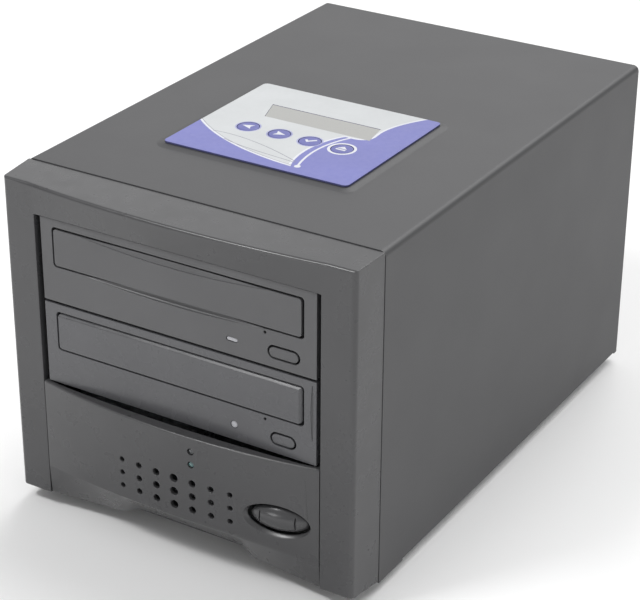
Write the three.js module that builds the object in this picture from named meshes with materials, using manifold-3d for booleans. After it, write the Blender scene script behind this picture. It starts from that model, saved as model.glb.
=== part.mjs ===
// One-to-one disc duplicator tower: two half-height tray drives above a vented lower panel, in a steel
// case with a small control panel on top. Millimetres, +Z up, front towards -Y.
// While the pieces are made, y = 0 is the seam between case cover and front bezel and z = 0 is the
// bottom edge of the case. The whole tower is placed last, with its origin at its bottom centre.
import * as THREE from 'three';
import { ConvexGeometry } from 'three/addons/geometries/ConvexGeometry.js';
import { mergeVertices } from 'three/addons/utils/BufferGeometryUtils.js';
import Module from 'manifold-3d';

const wasm = await Module();
wasm.setup();

// ---- driving dimensions: case and bezel ----
const CASE_W = 191;
const CASE_H = 168;
const CASE_D = 263;
const SHEET = 1;
const CASE_BEND = 3;
const GAP = 0.3;
const HEM_FRONT = 22;
const FOOT_H = 5;
const FOOT_R = 8;

const BEZEL_D = 21.4;
const BEZEL_W = 190.4;
const BEZEL_FRONT_W = 187.6;
const BEZEL_TOP = 167.5;
const BEZEL_FRONT_TOP = 166.7;
const BEZEL_FOOT = 1;
const BEZEL_FRONT_FOOT = 3;
const BEZEL_CORNER = 2.5;
const BEZEL_WALL = 2.5;
const OPENING_HALF = 76.6;
const OPENING_TOP = 151.8;
const RAIL_BOW = 4.7;
const RAIL_BOW_HALF = 80;

// ---- lower panel ----
const PANEL_HALF = OPENING_HALF - GAP;
const PANEL_TOP = 65.6;
const PANEL_BULGE = 8;
const PANEL_BACK = -10;
const PANEL_WALL = 2.2;
const PANEL_ROUND = 1.8;
const LEDGE_Y = -20.6;
const LEDGE_BOW = 3.2;
const CHIN_END_Z = 18.6;
const CHIN_RISE = 2.6;
const UNDERCUT = 4.8;
const ARCH_LEFT = -38;
const ARCH_LEFT_RAMP = 13;
const ARCH_RIGHT = 40;
const ARCH_RIGHT_RAMP = 8;
const ARCH_LIFT = 4.6;
const VENT_X = 3;
const VENT_Z = 34.4;
const VENT_PITCH_X = 10;
const VENT_PITCH_Z = 7.05;
const VENT_RADII = [1.25, 1.5, 1.8, 2.1, 1.8, 1.5, 1.25];
const LED_X = 12.6;
const LED_ZS = [51.4, 58.3];
const LED_R = 1.5;
const POWER_X = 56.3;
const POWER_Z = 34.2;
const POWER_SEMI_X = 15.4;
const POWER_SEMI_Z = 7.3;
const POWER_DOME = [17, 9.2, 8];
const POWER_PROUD = 1.2;

// ---- drives ----
const DRIVE_W = 148;
const DRIVE_H = 41.9;
const DRIVE_FACE = -20.3;
const DRIVE_BASES = [109.3, 66.1];
const DRIVE_D = 170;
const DRIVE_BEZEL_T = 5;
const SHELL_HALF = 73;
const SHELL_WALL = 0.8;
const DOOR_HALF = 67.2;
const DOOR_LOW = 18.3;
const DOOR_H = 19.3;
const DOOR_T = 2.8;
const DOOR_GAP = 0.4;
const TRAY_HALF = 65;
const TRAY_LOW = 21;
const TRAY_H = 6;
const TRAY_END = 160;
const DISC_Y = 72;
const DISC_R = 60.5;
const SMALL_DISC_R = 40.5;
const SLOT_HALF = 22;
const GEAR_TEETH = 20;
const GEAR_MODULE = 1;
const GEAR_X = 46;
const GEAR_Y = 17;
const PIVOT_Y = 145;
const PIVOT_Z = 14;
const PIVOT_R = 1.5;

// ---- control panel on top ----
const LABEL_X = [-51.9, 48.8];
const LABEL_Y = [46, 135];
const LABEL_R = 2.5;
const LABEL_T = 0.8;
const PLATEAU_H = 0.9;
const PLATEAU_SLOPE = 4;
const PLATEAU_TOP = CASE_H + PLATEAU_H;
const LABEL_LOW = PLATEAU_TOP + 0.15;
const LCD_TOP = CASE_H - 2 * SHEET - 0.8;
const LCD_X = [-33.2, 30.8];
const LCD_Y = [97, 112.5];
const KEY_XS = [-27.4, -9.8, 7.2, 24.8];
const KEY_Y = 81.8;
const KEY_R = 5.4;

// ---- rear ----
const FAN_SIZE = 80;
const FAN_X = -35;
const FAN_Z = 112;
const FAN_T = 25;
const FAN_BORE = 38;
const PSU_X = 30;
const PSU_W = 81.5;
const PSU_H = 40.5;
const PSU_L = 150;
const PSU_FLOOR = 3.2;
const PSU_FAN_X = 8;
const PSU_FAN_R = 18.5;
const INLET_X = 50;
const INLET_Z = 23;
const REAR_FACE = CASE_D - 2.3;
const SCREW_X = 84;
const SCREW_ZS = [30, 140];
const SCREW_HEAD = 2.2;

// ---- solids from three.js geometries ----
function solidOf(geometry) {
  geometry.deleteAttribute('normal');
  geometry.deleteAttribute('uv');
  const merged = mergeVertices(geometry, 1e-4);
  const mesh = new wasm.Mesh({
    numProp: 3,
    vertProperties: Float32Array.from(merged.attributes.position.array),
    triVerts: Uint32Array.from(merged.index.array),
  });
  return new wasm.Manifold(mesh);
}

function geometryOf(solid) {
  const mesh = solid.getMesh();
  const geometry = new THREE.BufferGeometry();
  geometry.setAttribute('position', new THREE.Float32BufferAttribute(mesh.vertProperties, 3));
  geometry.setIndex(Array.from(mesh.triVerts));
  return geometry;
}

const sum = (solids) => solids.reduce((all, one) => all.add(one));
const cut = (solid, tools) => tools.reduce((all, one) => all.subtract(one), solid);

// a block between two corners
function block(x0, x1, y0, y1, z0, z1) {
  const geometry = new THREE.BoxGeometry(x1 - x0, y1 - y0, z1 - z0);
  geometry.translate((x0 + x1) / 2, (y0 + y1) / 2, (z0 + z1) / 2);
  return solidOf(geometry);
}

// turns a shape drawn in x, y and extruded along z so that it runs along another axis:
// 'y' keeps x and stands the drawing up in x, z; 'x' lays the drawing in y, z
function turnTo(axis, geometry, from, to) {
  if (axis === 'z') return geometry.translate(0, 0, from);
  const basis = new THREE.Matrix4();
  if (axis === 'y') {
    basis.makeBasis(new THREE.Vector3(1, 0, 0), new THREE.Vector3(0, 0, 1), new THREE.Vector3(0, -1, 0));
    return geometry.applyMatrix4(basis).translate(0, to, 0);
  }
  basis.makeBasis(new THREE.Vector3(0, 1, 0), new THREE.Vector3(0, 0, 1), new THREE.Vector3(1, 0, 0));
  return geometry.applyMatrix4(basis).translate(from, 0, 0);
}

function prism(axis, shape, from, to, curveSegments = 8) {
  const depth = to - from;
  const geometry = new THREE.ExtrudeGeometry(shape, { depth, bevelEnabled: false, curveSegments });
  return solidOf(turnTo(axis, geometry, from, to));
}

function disc(axis, a, b, radius, from, to, segments = 24) {
  const geometry = new THREE.CylinderGeometry(radius, radius, to - from, segments);
  const middle = (from + to) / 2;
  if (axis === 'z') geometry.rotateX(Math.PI / 2).translate(a, b, middle);
  if (axis === 'y') geometry.translate(a, middle, b);
  if (axis === 'x') geometry.rotateZ(Math.PI / 2).translate(middle, a, b);
  return solidOf(geometry);
}

// a turned piece on a vertical or lengthwise axis; the profile is a list of [radius, height]
function turned(profile, segments = 24) {
  const geometry = new THREE.LatheGeometry(profile.map(([r, h]) => new THREE.Vector2(r, h)), segments);
  return solidOf(geometry.rotateX(Math.PI / 2));
}

const polygon = (points) => new THREE.Shape(points.map(([a, b]) => new THREE.Vector2(a, b)));

function roundedRect(x0, x1, y0, y1, r) {
  const shape = new THREE.Shape();
  shape.moveTo(x0 + r, y0);
  shape.lineTo(x1 - r, y0);
  shape.absarc(x1 - r, y0 + r, r, -Math.PI / 2, 0);
  shape.lineTo(x1, y1 - r);
  shape.absarc(x1 - r, y1 - r, r, 0, Math.PI / 2);
  shape.lineTo(x0 + r, y1);
  shape.absarc(x0 + r, y1 - r, r, Math.PI / 2, Math.PI);
  shape.lineTo(x0, y0 + r);
  shape.absarc(x0 + r, y0 + r, r, Math.PI, Math.PI * 1.5);
  return shape;
}

function ellipse(x, y, semiX, semiY) {
  return new THREE.Shape().absellipse(x, y, semiX, semiY, 0, Math.PI * 2);
}

// a closed body through sections that stand across x; each section runs anticlockwise in y, z
function loft(stations, sectionAt) {
  const sections = stations.map(sectionAt);
  const count = sections[0].length;
  const positions = sections.flatMap((section, i) => section.flatMap(([y, z]) => [stations[i], y, z]));
  const index = [];
  for (let i = 0; i + 1 < stations.length; i += 1) {
    for (let j = 0; j < count; j += 1) {
      const a = i * count + j;
      const b = i * count + ((j + 1) % count);
      index.push(a, b, a + count, b, b + count, a + count);
    }
  }
  const contour = (section) => section.map(([y, z]) => new THREE.Vector2(y, z));
  const last = (stations.length - 1) * count;
  for (const [p, q, r] of THREE.ShapeUtils.triangulateShape(contour(sections[0]), [])) index.push(p, r, q);
  for (const [p, q, r] of THREE.ShapeUtils.triangulateShape(contour(sections.at(-1)), [])) {
    index.push(last + p, last + q, last + r);
  }
  const geometry = new THREE.BufferGeometry();
  geometry.setAttribute('position', new THREE.Float32BufferAttribute(positions, 3));
  geometry.setIndex(index);
  return solidOf(geometry);
}

const steps = (from, to, count) =>
  Array.from({ length: count + 1 }, (_, i) => from + ((to - from) * i) / count);
const smooth = (t) => THREE.MathUtils.smoothstep(t, 0, 1);
// the stretch from a to b on the left (side -1) or on the right (side 1), lower end first
const span = (side, a, b) => [Math.min(side * a, side * b), Math.max(side * a, side * b)];
const crown = (x, half) => Math.max(0, 1 - (x / half) ** 2);

// ---- case ----
function coverProfile(inset) {
  const half = CASE_W / 2 - inset;
  const top = CASE_H - inset;
  const r = CASE_BEND - inset;
  const shape = new THREE.Shape();
  shape.moveTo(-half, inset ? -5 : 0);
  shape.lineTo(half, inset ? -5 : 0);
  shape.lineTo(half, top - r);
  shape.absarc(half - r, top - r, r, 0, Math.PI / 2);
  shape.lineTo(-half + r, top);
  shape.absarc(-half + r, top - r, r, Math.PI / 2, Math.PI);
  return shape;
}

function caseCover() {
  const lip = 9;
  const outer = prism('y', coverProfile(0), 0, CASE_D, 4);
  const inner = prism('y', coverProfile(SHEET), -5, CASE_D - SHEET, 4);
  const behind = block(-CASE_W / 2 + lip, CASE_W / 2 - lip, CASE_D - 5, CASE_D + 5, -5, CASE_H - lip);
  const hems = [-1, 1].map((side) => {
    const x = side * (CASE_W / 2);
    return block(x - 2, x + 2, HEM_FRONT, CASE_D - 3, -1, SHEET);
  });
  const lcd = block(LCD_X[0], LCD_X[1], LCD_Y[0], LCD_Y[1], CASE_H - 10, CASE_H + 5);
  const keys = KEY_XS.map((x) => disc('z', x, KEY_Y, KEY_R + 0.7, CASE_H - 10, CASE_H + 5, 12));
  const screws = screwPlaces().map(([x, z]) => disc('y', x, z, 1.9, CASE_D - 3, CASE_D + 1, 8));
  const shell = cut(outer.add(plateau(0)), [inner, behind, plateau(SHEET)]);
  return cut(shell, [...hems, lcd, ...keys, ...screws]);
}

// the embossed field that carries the label, or the hollow an inset below it
function plateau(inset) {
  const outline = (grow) => {
    const shape = roundedRect(LABEL_X[0] - grow, LABEL_X[1] + grow, LABEL_Y[0] - grow, LABEL_Y[1] + grow,
      LABEL_R + grow);
    return shape.getPoints(3);
  };
  const foot = PLATEAU_SLOPE + GAP;
  const levels = [[foot, -2 * SHEET], [foot, 0], [GAP, PLATEAU_H]];
  const points = levels.flatMap(([grow, rise]) =>
    outline(grow).map(({ x, y }) => new THREE.Vector3(x, y, CASE_H - inset + rise)));
  return solidOf(new ConvexGeometry(points));
}

const screwPlaces = () => SCREW_ZS.flatMap((z) => [[-SCREW_X - 6, z], [SCREW_X + 6, z]]);

function basePan() {
  const half = CASE_W / 2 - SHEET - GAP;
  const low = 0.4;
  const flange = 12;
  const plate = block(-half, half, 0.8, REAR_FACE - 2, low, low + SHEET);
  const sides = [-1, 1].map((side) => block(...span(side, half - SHEET, half), 0.8, REAR_FACE - 2, low,
    flange));
  const front = block(-half, half, 0.8, 0.8 + SHEET, low, flange);
  const slots = steps(40, 95, 5).map((y) => block(-30, 30, y, y + 4, -2, 3));
  const feet = footPlaces().map(([x, y]) => disc('z', x, y, 2, -2, 3, 10));
  return cut(sum([plate, ...sides, front]), [...slots, ...feet]);
}

function footPlaces() {
  const x = CASE_W / 2 - 32;
  return [[-x, 30], [x, 30], [-x, CASE_D - 30], [x, CASE_D - 30]];
}

// a rubber foot with a plug that snaps through the base pan
function foot() {
  const neck = 1.7;
  return turned([[0, -FOOT_H], [FOOT_R - 1, -FOOT_H], [FOOT_R, -FOOT_H + 1], [FOOT_R - 0.6, 0.1], [neck, 0.1],
    [neck, 1.6], [neck + 0.8, 1.8], [neck, 2.8], [0, 2.8]], 12);
}

function rearPanel() {
  const half = CASE_W / 2 - SHEET - GAP;
  const y0 = REAR_FACE;
  const y1 = REAR_FACE + SHEET;
  const plate = prism('y', roundedRect(-half, half, 1.7, CASE_H - SHEET - GAP, 2), y0, y1, 3);
  const grille = fanGrille(FAN_X, FAN_Z, FAN_BORE - 1, 3, y0 - 1, y1 + 1);
  const psu = block(PSU_X - PSU_W / 2 + 3, PSU_X + PSU_W / 2 - 3, y0 - 1, y1 + 1, PSU_FLOOR + 2,
    PSU_FLOOR + PSU_H - 2);
  const vents = steps(100, 142, 6).map((z) => block(26, 72, y0 - 1, y1 + 1, z, z + 3));
  const screws = screwPlaces().map(([x, z]) => disc('y', x, z, 1.9, y0 - 1, y1 + 1, 8));
  return cut(plate, [grille, psu, ...vents, ...screws]);
}

// the openings of a finger guard: rings of air between thin wires, held by a cross
function fanGrille(x, z, radius, rings, from, to) {
  const wire = 1.6;
  const hub = radius * 0.3;
  const pitch = (radius - hub) / rings;
  const slots = steps(0, rings - 1, rings - 1).map((i) => {
    const shape = new THREE.Shape().absarc(x, z, hub + pitch * (i + 1) - wire / 2, 0, Math.PI * 2);
    shape.holes.push(new THREE.Path().absarc(x, z, hub + pitch * i + wire / 2, 0, Math.PI * 2, true));
    return prism('y', shape, from, to, 8);
  });
  const bars = [45, 135].map((angle) => {
    const geometry = new THREE.BoxGeometry(radius * 2.2, to - from + 2, 2.4);
    geometry.rotateY(THREE.MathUtils.degToRad(angle)).translate(x, (from + to) / 2, z);
    return solidOf(geometry);
  });
  return cut(sum(slots), bars);
}

function coverScrew([x, z]) {
  const head = turned([[0, 0], [3.4, 0], [3.4, 1.2], [2.2, SCREW_HEAD], [0, SCREW_HEAD]], 10);
  const shank = turned([[0, -8], [1.5, -7.4], [1.5, 0.2], [0, 0.2]], 8);
  const cross = [0, 1].map((i) => {
    const size = [[3.2, 0.7], [0.7, 3.2]][i];
    return solidOf(new THREE.BoxGeometry(size[0], size[1], 2).translate(0, 0, SCREW_HEAD));
  });
  const screw = cut(head.add(shank), cross);
  return { solid: screw, place: [x, CASE_D + 0.05, z], turn: [-Math.PI / 2, 0, 0] };
}

// ---- front bezel ----
function bezelBlock() {
  const half = BEZEL_W / 2;
  const front = BEZEL_FRONT_W / 2;
  const r = BEZEL_CORNER;
  const plan = new THREE.Shape();
  plan.moveTo(half, 0);
  plan.lineTo(-half, 0);
  plan.lineTo(-front, -BEZEL_D + r);
  plan.absarc(-front + r, -BEZEL_D + r, r, Math.PI, Math.PI * 1.5);
  plan.lineTo(front - r, -BEZEL_D);
  plan.absarc(front - r, -BEZEL_D + r, r, -Math.PI / 2, 0);
  const side = polygon([[0, BEZEL_FOOT], [0, BEZEL_TOP], [-BEZEL_D + 1, BEZEL_FRONT_TOP],
    [-BEZEL_D, BEZEL_FRONT_TOP - 1], [-BEZEL_D, BEZEL_FRONT_FOOT]]);
  return prism('z', plan, -1, CASE_H + 1, 4).intersect(prism('x', side, -CASE_W, CASE_W));
}

// the brow over the drives swells forwards towards the middle
function bezelBrow() {
  const brow = (x) => BEZEL_D + RAIL_BOW * crown(x, RAIL_BOW_HALF) + 0.02;
  return loft(steps(-RAIL_BOW_HALF, RAIL_BOW_HALF, 24), (x) => [
    [-BEZEL_D + 2, OPENING_TOP + 1],
    [-BEZEL_D + 2, BEZEL_FRONT_TOP - 0.05],
    [-brow(x) + 1.2, BEZEL_FRONT_TOP - 0.2],
    [-brow(x), BEZEL_FRONT_TOP - 1.3],
    [-BEZEL_D - 0.02, OPENING_TOP + 1],
  ]);
}

function frontBezel() {
  const far = 60;
  const mouth = block(-OPENING_HALF, OPENING_HALF, -far, far, 8, OPENING_TOP);
  const chin = block(-OPENING_HALF, OPENING_HALF, -far, PANEL_BACK + GAP, -far, 9);
  const inner = BEZEL_FRONT_W / 2 - BEZEL_WALL;
  const wall = OPENING_HALF + BEZEL_WALL;
  const wells = [-1, 1].map((side) => block(...span(side, wall, inner), -BEZEL_D + BEZEL_WALL, far, 6,
    BEZEL_FRONT_TOP - BEZEL_WALL));
  const lintel = block(-wall + 5, wall - 5, -BEZEL_D + BEZEL_WALL, far, OPENING_TOP + BEZEL_WALL,
    BEZEL_FRONT_TOP - BEZEL_WALL);
  return cut(bezelBlock().add(bezelBrow()), [mouth, chin, ...wells, lintel]);
}

// ---- lower panel ----
const panelFront = (x) => -BEZEL_D - PANEL_BULGE * crown(x, PANEL_HALF + 0.7);
const panelFoot = (x) => -BEZEL_D + 0.6 + UNDERCUT * crown(x, PANEL_HALF + 0.7);
const chinHeight = (x) => CHIN_END_Z + CHIN_RISE * crown(x, PANEL_HALF);
const archLift = (x) => ARCH_LIFT * Math.min(smooth((x - ARCH_LEFT) / ARCH_LEFT_RAMP),
  smooth((ARCH_RIGHT - x) / ARCH_RIGHT_RAMP));
const panelLow = (x) => BEZEL_FRONT_FOOT + 0.2 + archLift(x);

function panelSection(x) {
  const front = panelFront(x);
  return [[panelFoot(x), panelLow(x)], [PANEL_BACK, panelLow(x)], [PANEL_BACK, PANEL_TOP],
    [front + PANEL_ROUND, PANEL_TOP], [front + PANEL_ROUND * 0.3, PANEL_TOP - PANEL_ROUND * 0.3],
    [front, PANEL_TOP - PANEL_ROUND], [front, chinHeight(x)]];
}

// the hollow behind the panel's walls, open to the rear and up through a gap along the lower drive's face
function panelHollow(x) {
  const front = panelFront(x) + PANEL_WALL;
  const low = panelLow(x) + PANEL_WALL;
  const ledge = Math.max(front + 0.05, LEDGE_Y - LEDGE_BOW * crown(x, PANEL_HALF - 4));
  const high = PANEL_TOP + 3;
  const ceiling = PANEL_TOP - PANEL_WALL;
  return [[panelFoot(x) + PANEL_WALL, low], [5, low], [5, high], [ledge, high], [ledge, ceiling],
    [front, ceiling], [front, chinHeight(x) + 1]];
}

function lowerPanel() {
  const outer = loft(steps(-PANEL_HALF, PANEL_HALF, 28), panelSection);
  const innerHalf = PANEL_HALF - PANEL_WALL;
  const inner = loft(steps(-innerHalf, innerHalf, 20), panelHollow);
  const far = -40;
  const vents = VENT_RADII.flatMap((r, i) => [-1, 0, 1].map((row) => {
    const x = VENT_X + (i - 3) * VENT_PITCH_X;
    return disc('y', x, VENT_Z + row * VENT_PITCH_Z, r, far, -15, 8);
  }));
  const leds = LED_ZS.map((z) => disc('y', LED_X, z, LED_R + 0.2, far, -15, 12));
  const power = prism('y', ellipse(POWER_X, POWER_Z, POWER_SEMI_X, POWER_SEMI_Z), far, -12, 16);
  return cut(outer, [inner, ...vents, ...leds, power]);
}

// a light pipe from behind the panel to its surface
function ledLens(z) {
  const face = panelFront(LED_X) + 0.4;
  return disc('y', LED_X, z, LED_R, face, PANEL_BACK - 2, 12).add(disc('y', LED_X, z, LED_R + 1,
    panelFront(LED_X) + PANEL_WALL + 1.2, PANEL_BACK - 2, 12));
}

function powerButton() {
  const rim = 1.2;
  const body = prism('y', ellipse(POWER_X, POWER_Z, POWER_SEMI_X - rim, POWER_SEMI_Z - rim), -40, -12.5, 16);
  const dome = new THREE.SphereGeometry(1, 24, 12);
  const [domeX, depth, domeZ] = POWER_DOME;
  const tilt = Math.atan2(2 * PANEL_BULGE * POWER_X, (PANEL_HALF + 0.7) ** 2);
  dome.scale(domeX, depth, domeZ).rotateZ(tilt);
  dome.translate(POWER_X, panelFront(POWER_X) + depth - POWER_PROUD, POWER_Z);
  const skirt = prism('y', ellipse(POWER_X, POWER_Z, POWER_SEMI_X + 2, POWER_SEMI_Z + 2), -15.5, -12.5, 12);
  const grooves = [-1, 1].map((side) => {
    const x = POWER_X + side * 8.6;
    return block(x - 0.3, x + 0.3, -40, panelFront(x) + 1.1, POWER_Z - 10, POWER_Z + 10);
  });
  return cut(body.intersect(solidOf(dome)).add(skirt), grooves);
}

// ---- drives; each is made with its bezel's face at y = 0 and its underside at z = 0 ----
function driveBezel(look) {
  const half = DRIVE_W / 2;
  const plate = block(-half, half, 0, DRIVE_BEZEL_T, 0, DRIVE_H);
  const behind = block(-half + 3, half - 3, 2.4, DRIVE_BEZEL_T + 1, 2.5, DRIVE_H - 2.5);
  const doorway = (margin, from, to) => block(-DOOR_HALF - margin, DOOR_HALF + margin, from, to,
    DOOR_LOW - margin, DOOR_LOW + DOOR_H + margin);
  const slot = doorway(DOOR_GAP, -1, 9);
  const collar = cut(doorway(2, 2, DRIVE_BEZEL_T), [slot]);
  const eject = stadium(look.ejectX, look.ejectZ, look.ejectHalf + 0.35, look.ejectR + 0.35);
  const button = prism('y', eject, -1, 9, 6);
  const led = prism('y', stadium(look.ledX, look.ledZ, look.ledHalf + 0.1, look.ledR + 0.1), -1, 9, 5);
  const pin = disc('y', look.pinX, look.pinZ, 0.7, -1, 9, 8);
  return cut(cut(plate, [behind, slot]).add(collar), [button, led, pin]);
}

// a bar with round ends, lying along x
function stadium(x, z, half, r) {
  const shape = new THREE.Shape();
  shape.moveTo(x - half + r, z - r);
  shape.lineTo(x + half - r, z - r);
  shape.absarc(x + half - r, z, r, -Math.PI / 2, Math.PI / 2);
  shape.lineTo(x - half + r, z + r);
  shape.absarc(x - half + r, z, r, Math.PI / 2, Math.PI * 1.5);
  return shape;
}

function driveShell() {
  const z0 = 0.5;
  const top = DRIVE_H - 1.6;
  const front = DRIVE_BEZEL_T + GAP;
  const tub = block(-SHELL_HALF, SHELL_HALF, front, DRIVE_D, z0, top);
  const inside = block(-SHELL_HALF + SHELL_WALL, SHELL_HALF - SHELL_WALL, front - 5, DRIVE_D - SHELL_WALL,
    z0 + SHELL_WALL, top + 5);
  const socket = block(-60, -10, DRIVE_D - 5, DRIVE_D + 5, 3, 12);
  return cut(tub, [inside, socket]);
}

function driveCover() {
  const z1 = DRIVE_H - 0.4;
  const z0 = z1 - SHELL_WALL;
  const front = DRIVE_BEZEL_T + GAP;
  const lip = SHELL_HALF - SHELL_WALL - GAP;
  const plate = block(-SHELL_HALF, SHELL_HALF, front, DRIVE_D, z0, z1);
  const lips = [-1, 1].map((side) => block(...span(side, lip - SHELL_WALL, lip), front + 4, DRIVE_D - 4,
    z0 - 4, z0 + 0.4));
  const rib = block(-40, 40, 60, 120, z0 - 0.6, z0 + 0.2);
  return sum([plate, ...lips, rib]);
}

function driveBoard() {
  const pcb = block(-68, 68, 30, DRIVE_D - 3, 2, 3.4);
  const chips = [[-20, 70], [12, 100], [-35, 120], [30, 60]].map(([x, y]) =>
    block(x - 7, x + 7, y - 7, y + 7, 3.3, 4.7));
  const plug = block(-58, -12, DRIVE_D - 14, DRIVE_D + 2, 3.3, 10.5);
  const socket = block(-56, -14, DRIVE_D - 4, DRIVE_D + 5, 5, 9);
  return sum([pcb, ...chips, cut(plug, [socket])]);
}

// the plastic loader frame: two channel rails that carry the tray, joined by cross bars
function driveFrame() {
  const start = 9.5;
  const rails = [-1, 1].map((side) => {
    const rail = block(...span(side, 65.5, 70.6), start, DRIVE_D - 8, 6, 34);
    const ledge = block(...span(side, 61.2, 66), start, DRIVE_D - 8, 17.8, TRAY_LOW - GAP);
    const guard = block(...span(side, 61.2, 66), 20, DRIVE_D - 8, TRAY_LOW + TRAY_H + GAP, 30);
    return sum([rail, ledge, guard]);
  });
  const front = block(-66, 66, start, start + 6, 6, 9);
  const rear = block(-66, 66, DRIVE_D - 14, DRIVE_D - 8, 11.5, 16);
  const gearShelf = block(33, 66, start, 44, 6, 9);
  const pin = disc('z', GEAR_X, GEAR_Y, 2, 8, 16, 10);
  const sockets = disc('x', PIVOT_Y, PIVOT_Z, PIVOT_R + GAP, -71, 71, 12);
  return cut(sum([...rails, front, rear, gearShelf, pin]), [sockets]);
}

// the rack under the tray and the gear that drives it share one tooth form
function rack() {
  const x = GEAR_X + GEAR_TEETH * GEAR_MODULE / 2;
  const pitch = Math.PI * GEAR_MODULE;
  const from = 14;
  const teeth = Math.floor((TRAY_END - from - 4) / pitch);
  const slope = Math.tan(THREE.MathUtils.degToRad(20));
  const halfTooth = pitch / 4 - 0.12;
  const points = [[x + 4.2, from - 3]];
  points.push([x + 4.2, from + teeth * pitch + 3], [x + 1.3, from + teeth * pitch + 3]);
  for (let i = teeth - 1; i >= 0; i -= 1) {
    const y = GEAR_Y + pitch * (Math.round((from - GEAR_Y) / pitch) + i + 0.5);
    points.push([x + 1.3, y + halfTooth + 1.3 * slope], [x - 0.9, y + halfTooth - 0.9 * slope]);
    points.push([x - 0.9, y - halfTooth + 0.9 * slope], [x + 1.3, y - halfTooth - 1.3 * slope]);
  }
  points.push([x + 1.3, from - 3]);
  return prism('z', polygon(points), DOOR_LOW, TRAY_LOW + 0.2);
}

function loadGear() {
  const pitchR = GEAR_TEETH * GEAR_MODULE / 2;
  const baseR = pitchR * Math.cos(THREE.MathUtils.degToRad(20));
  const rootR = pitchR - 1.35 * GEAR_MODULE;
  const tipR = pitchR + 0.85 * GEAR_MODULE;
  const halfAngle = Math.PI / (2 * GEAR_TEETH) - 0.2 / pitchR;
  const involute = (r) => {
    const a = Math.acos(Math.min(1, baseR / r));
    return Math.tan(a) - a;
  };
  const radii = [baseR + 0.01, tipR];
  const points = [];
  for (let i = 0; i < GEAR_TEETH; i += 1) {
    const middle = (i / GEAR_TEETH) * Math.PI * 2;
    const flank = radii.map((r) => [r, halfAngle + involute(pitchR) - involute(r)]);
    const up = [[rootR, flank[0][1] + 0.04], ...flank];
    for (const [r, a] of up) points.push([r, middle - a]);
    for (const [r, a] of [...up].reverse()) points.push([r, middle + a]);
  }
  const outline = polygon(points.map(([r, a]) => [GEAR_X + r * Math.cos(a), GEAR_Y + r * Math.sin(a)]));
  const gear = prism('z', outline, 17.2, 20.4);
  const hub = disc('z', GEAR_X, GEAR_Y, 5, 9.6, 18, 16);
  return cut(gear.add(hub), [disc('z', GEAR_X, GEAR_Y, 2.3, 5, 16.5, 12)]);
}

function driveTray() {
  const front = DOOR_T + 0.8;
  const low = TRAY_LOW;
  const high = TRAY_LOW + TRAY_H;
  const plate = prism('z', roundedRect(-TRAY_HALF, TRAY_HALF, front, TRAY_END, 2), low, high, 3);
  const bigDisc = disc('z', 0, DISC_Y, DISC_R, high - 2, high + 5, 44);
  const smallDisc = disc('z', 0, DISC_Y, SMALL_DISC_R, high - 3.6, high + 5, 32);
  const slotEnd = disc('z', 0, DISC_Y, SLOT_HALF, low - 8, high + 5, 16);
  const slot = block(-SLOT_HALF, SLOT_HALF, DISC_Y, TRAY_END + 5, low - 8, high + 5);
  const sides = [-1, 1].map((side) => disc('z', side * (DISC_R + 2), DISC_Y, 9, high - 3.6, high + 5, 14));
  const hollows = [-1, 1].map((side) => block(...span(side, 28, 56), 140, 156, high - 4.5, high + 5));
  return cut(plate.add(rack()), [bigDisc, smallDisc, slotEnd, slot, ...sides, ...hollows]);
}

function trayDoor() {
  const face = prism('y', roundedRect(-DOOR_HALF, DOOR_HALF, DOOR_LOW, DOOR_LOW + DOOR_H, 1.6), 0, DOOR_T, 4);
  const hooks = [-1, 1].map((side) => block(side * 50 - 5, side * 50 + 5, DOOR_T - 0.2, DOOR_T + 5,
    TRAY_LOW + TRAY_H + 0.4, TRAY_LOW + TRAY_H + 3));
  return sum([face, ...hooks]);
}

function ejectButton(look) {
  const cap = prism('y', stadium(look.ejectX, look.ejectZ, look.ejectHalf, look.ejectR), -0.5, 7, 6);
  const reach = look.ejectHalf + 1.2;
  const wing = block(look.ejectX - reach, look.ejectX + reach, DRIVE_BEZEL_T + 1.6, DRIVE_BEZEL_T + 2.6,
    look.ejectZ - 2, look.ejectZ + 2);
  return cap.add(wing);
}

function driveLed(look) {
  const lens = prism('y', stadium(look.ledX, look.ledZ, look.ledHalf, look.ledR), 0.2, 8, 5);
  return lens.add(disc('y', look.ledX, look.ledZ, look.ledR + 1.3, 5.4, 8, 12));
}

// the sub-chassis under the disc: spindle motor can, two guide rods, and side arms to its pivots
function traverse() {
  const plate = block(-33, 33, 48, DRIVE_D - 22, 13, 15);
  const window = block(-17, 17, DISC_Y + 17, DRIVE_D - 28, 10, 18);
  const motor = disc('z', 0, DISC_Y, 13, 10, 15, 16);
  const rods = [-1, 1].map((side) => disc('y', side * 25, 18, 1.5, DISC_Y + 16, DRIVE_D - 24, 8));
  const posts = [-1, 1].flatMap((side) => [DISC_Y + 16, DRIVE_D - 28].map((y) =>
    block(...span(side, 22.5, 27.5), y - 1, y + 3, 14, 19.5)));
  const pivot = disc('x', PIVOT_Y, PIVOT_Z, PIVOT_R, -68, 68, 12);
  return cut(plate, [window]).add(sum([motor, ...rods, ...posts, pivot]));
}

function turntable() {
  return turned([[0, 15.3], [2, 15.3], [2, 22], [13.5, 22], [14, 22.6], [14, 25.2], [8, 25.2], [7.3, 26.6],
    [4, 28], [0, 28]], 16);
}

function laserSled() {
  const y0 = DISC_Y + 20;
  const y1 = y0 + 18;
  const body = block(-30, 30, y0, y1, 15.6, 20.2);
  const nose = block(-14, 14, y0, y1, 10.5, 16);
  const rods = [-1, 1].map((side) => disc('y', side * 25, 18, 1.8, y0 - 5, y1 + 5, 10));
  const lens = disc('z', 0, y0 + 4, 3.2, 20, 20.7, 14);
  return cut(body.add(nose), rods).add(lens);
}

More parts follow.
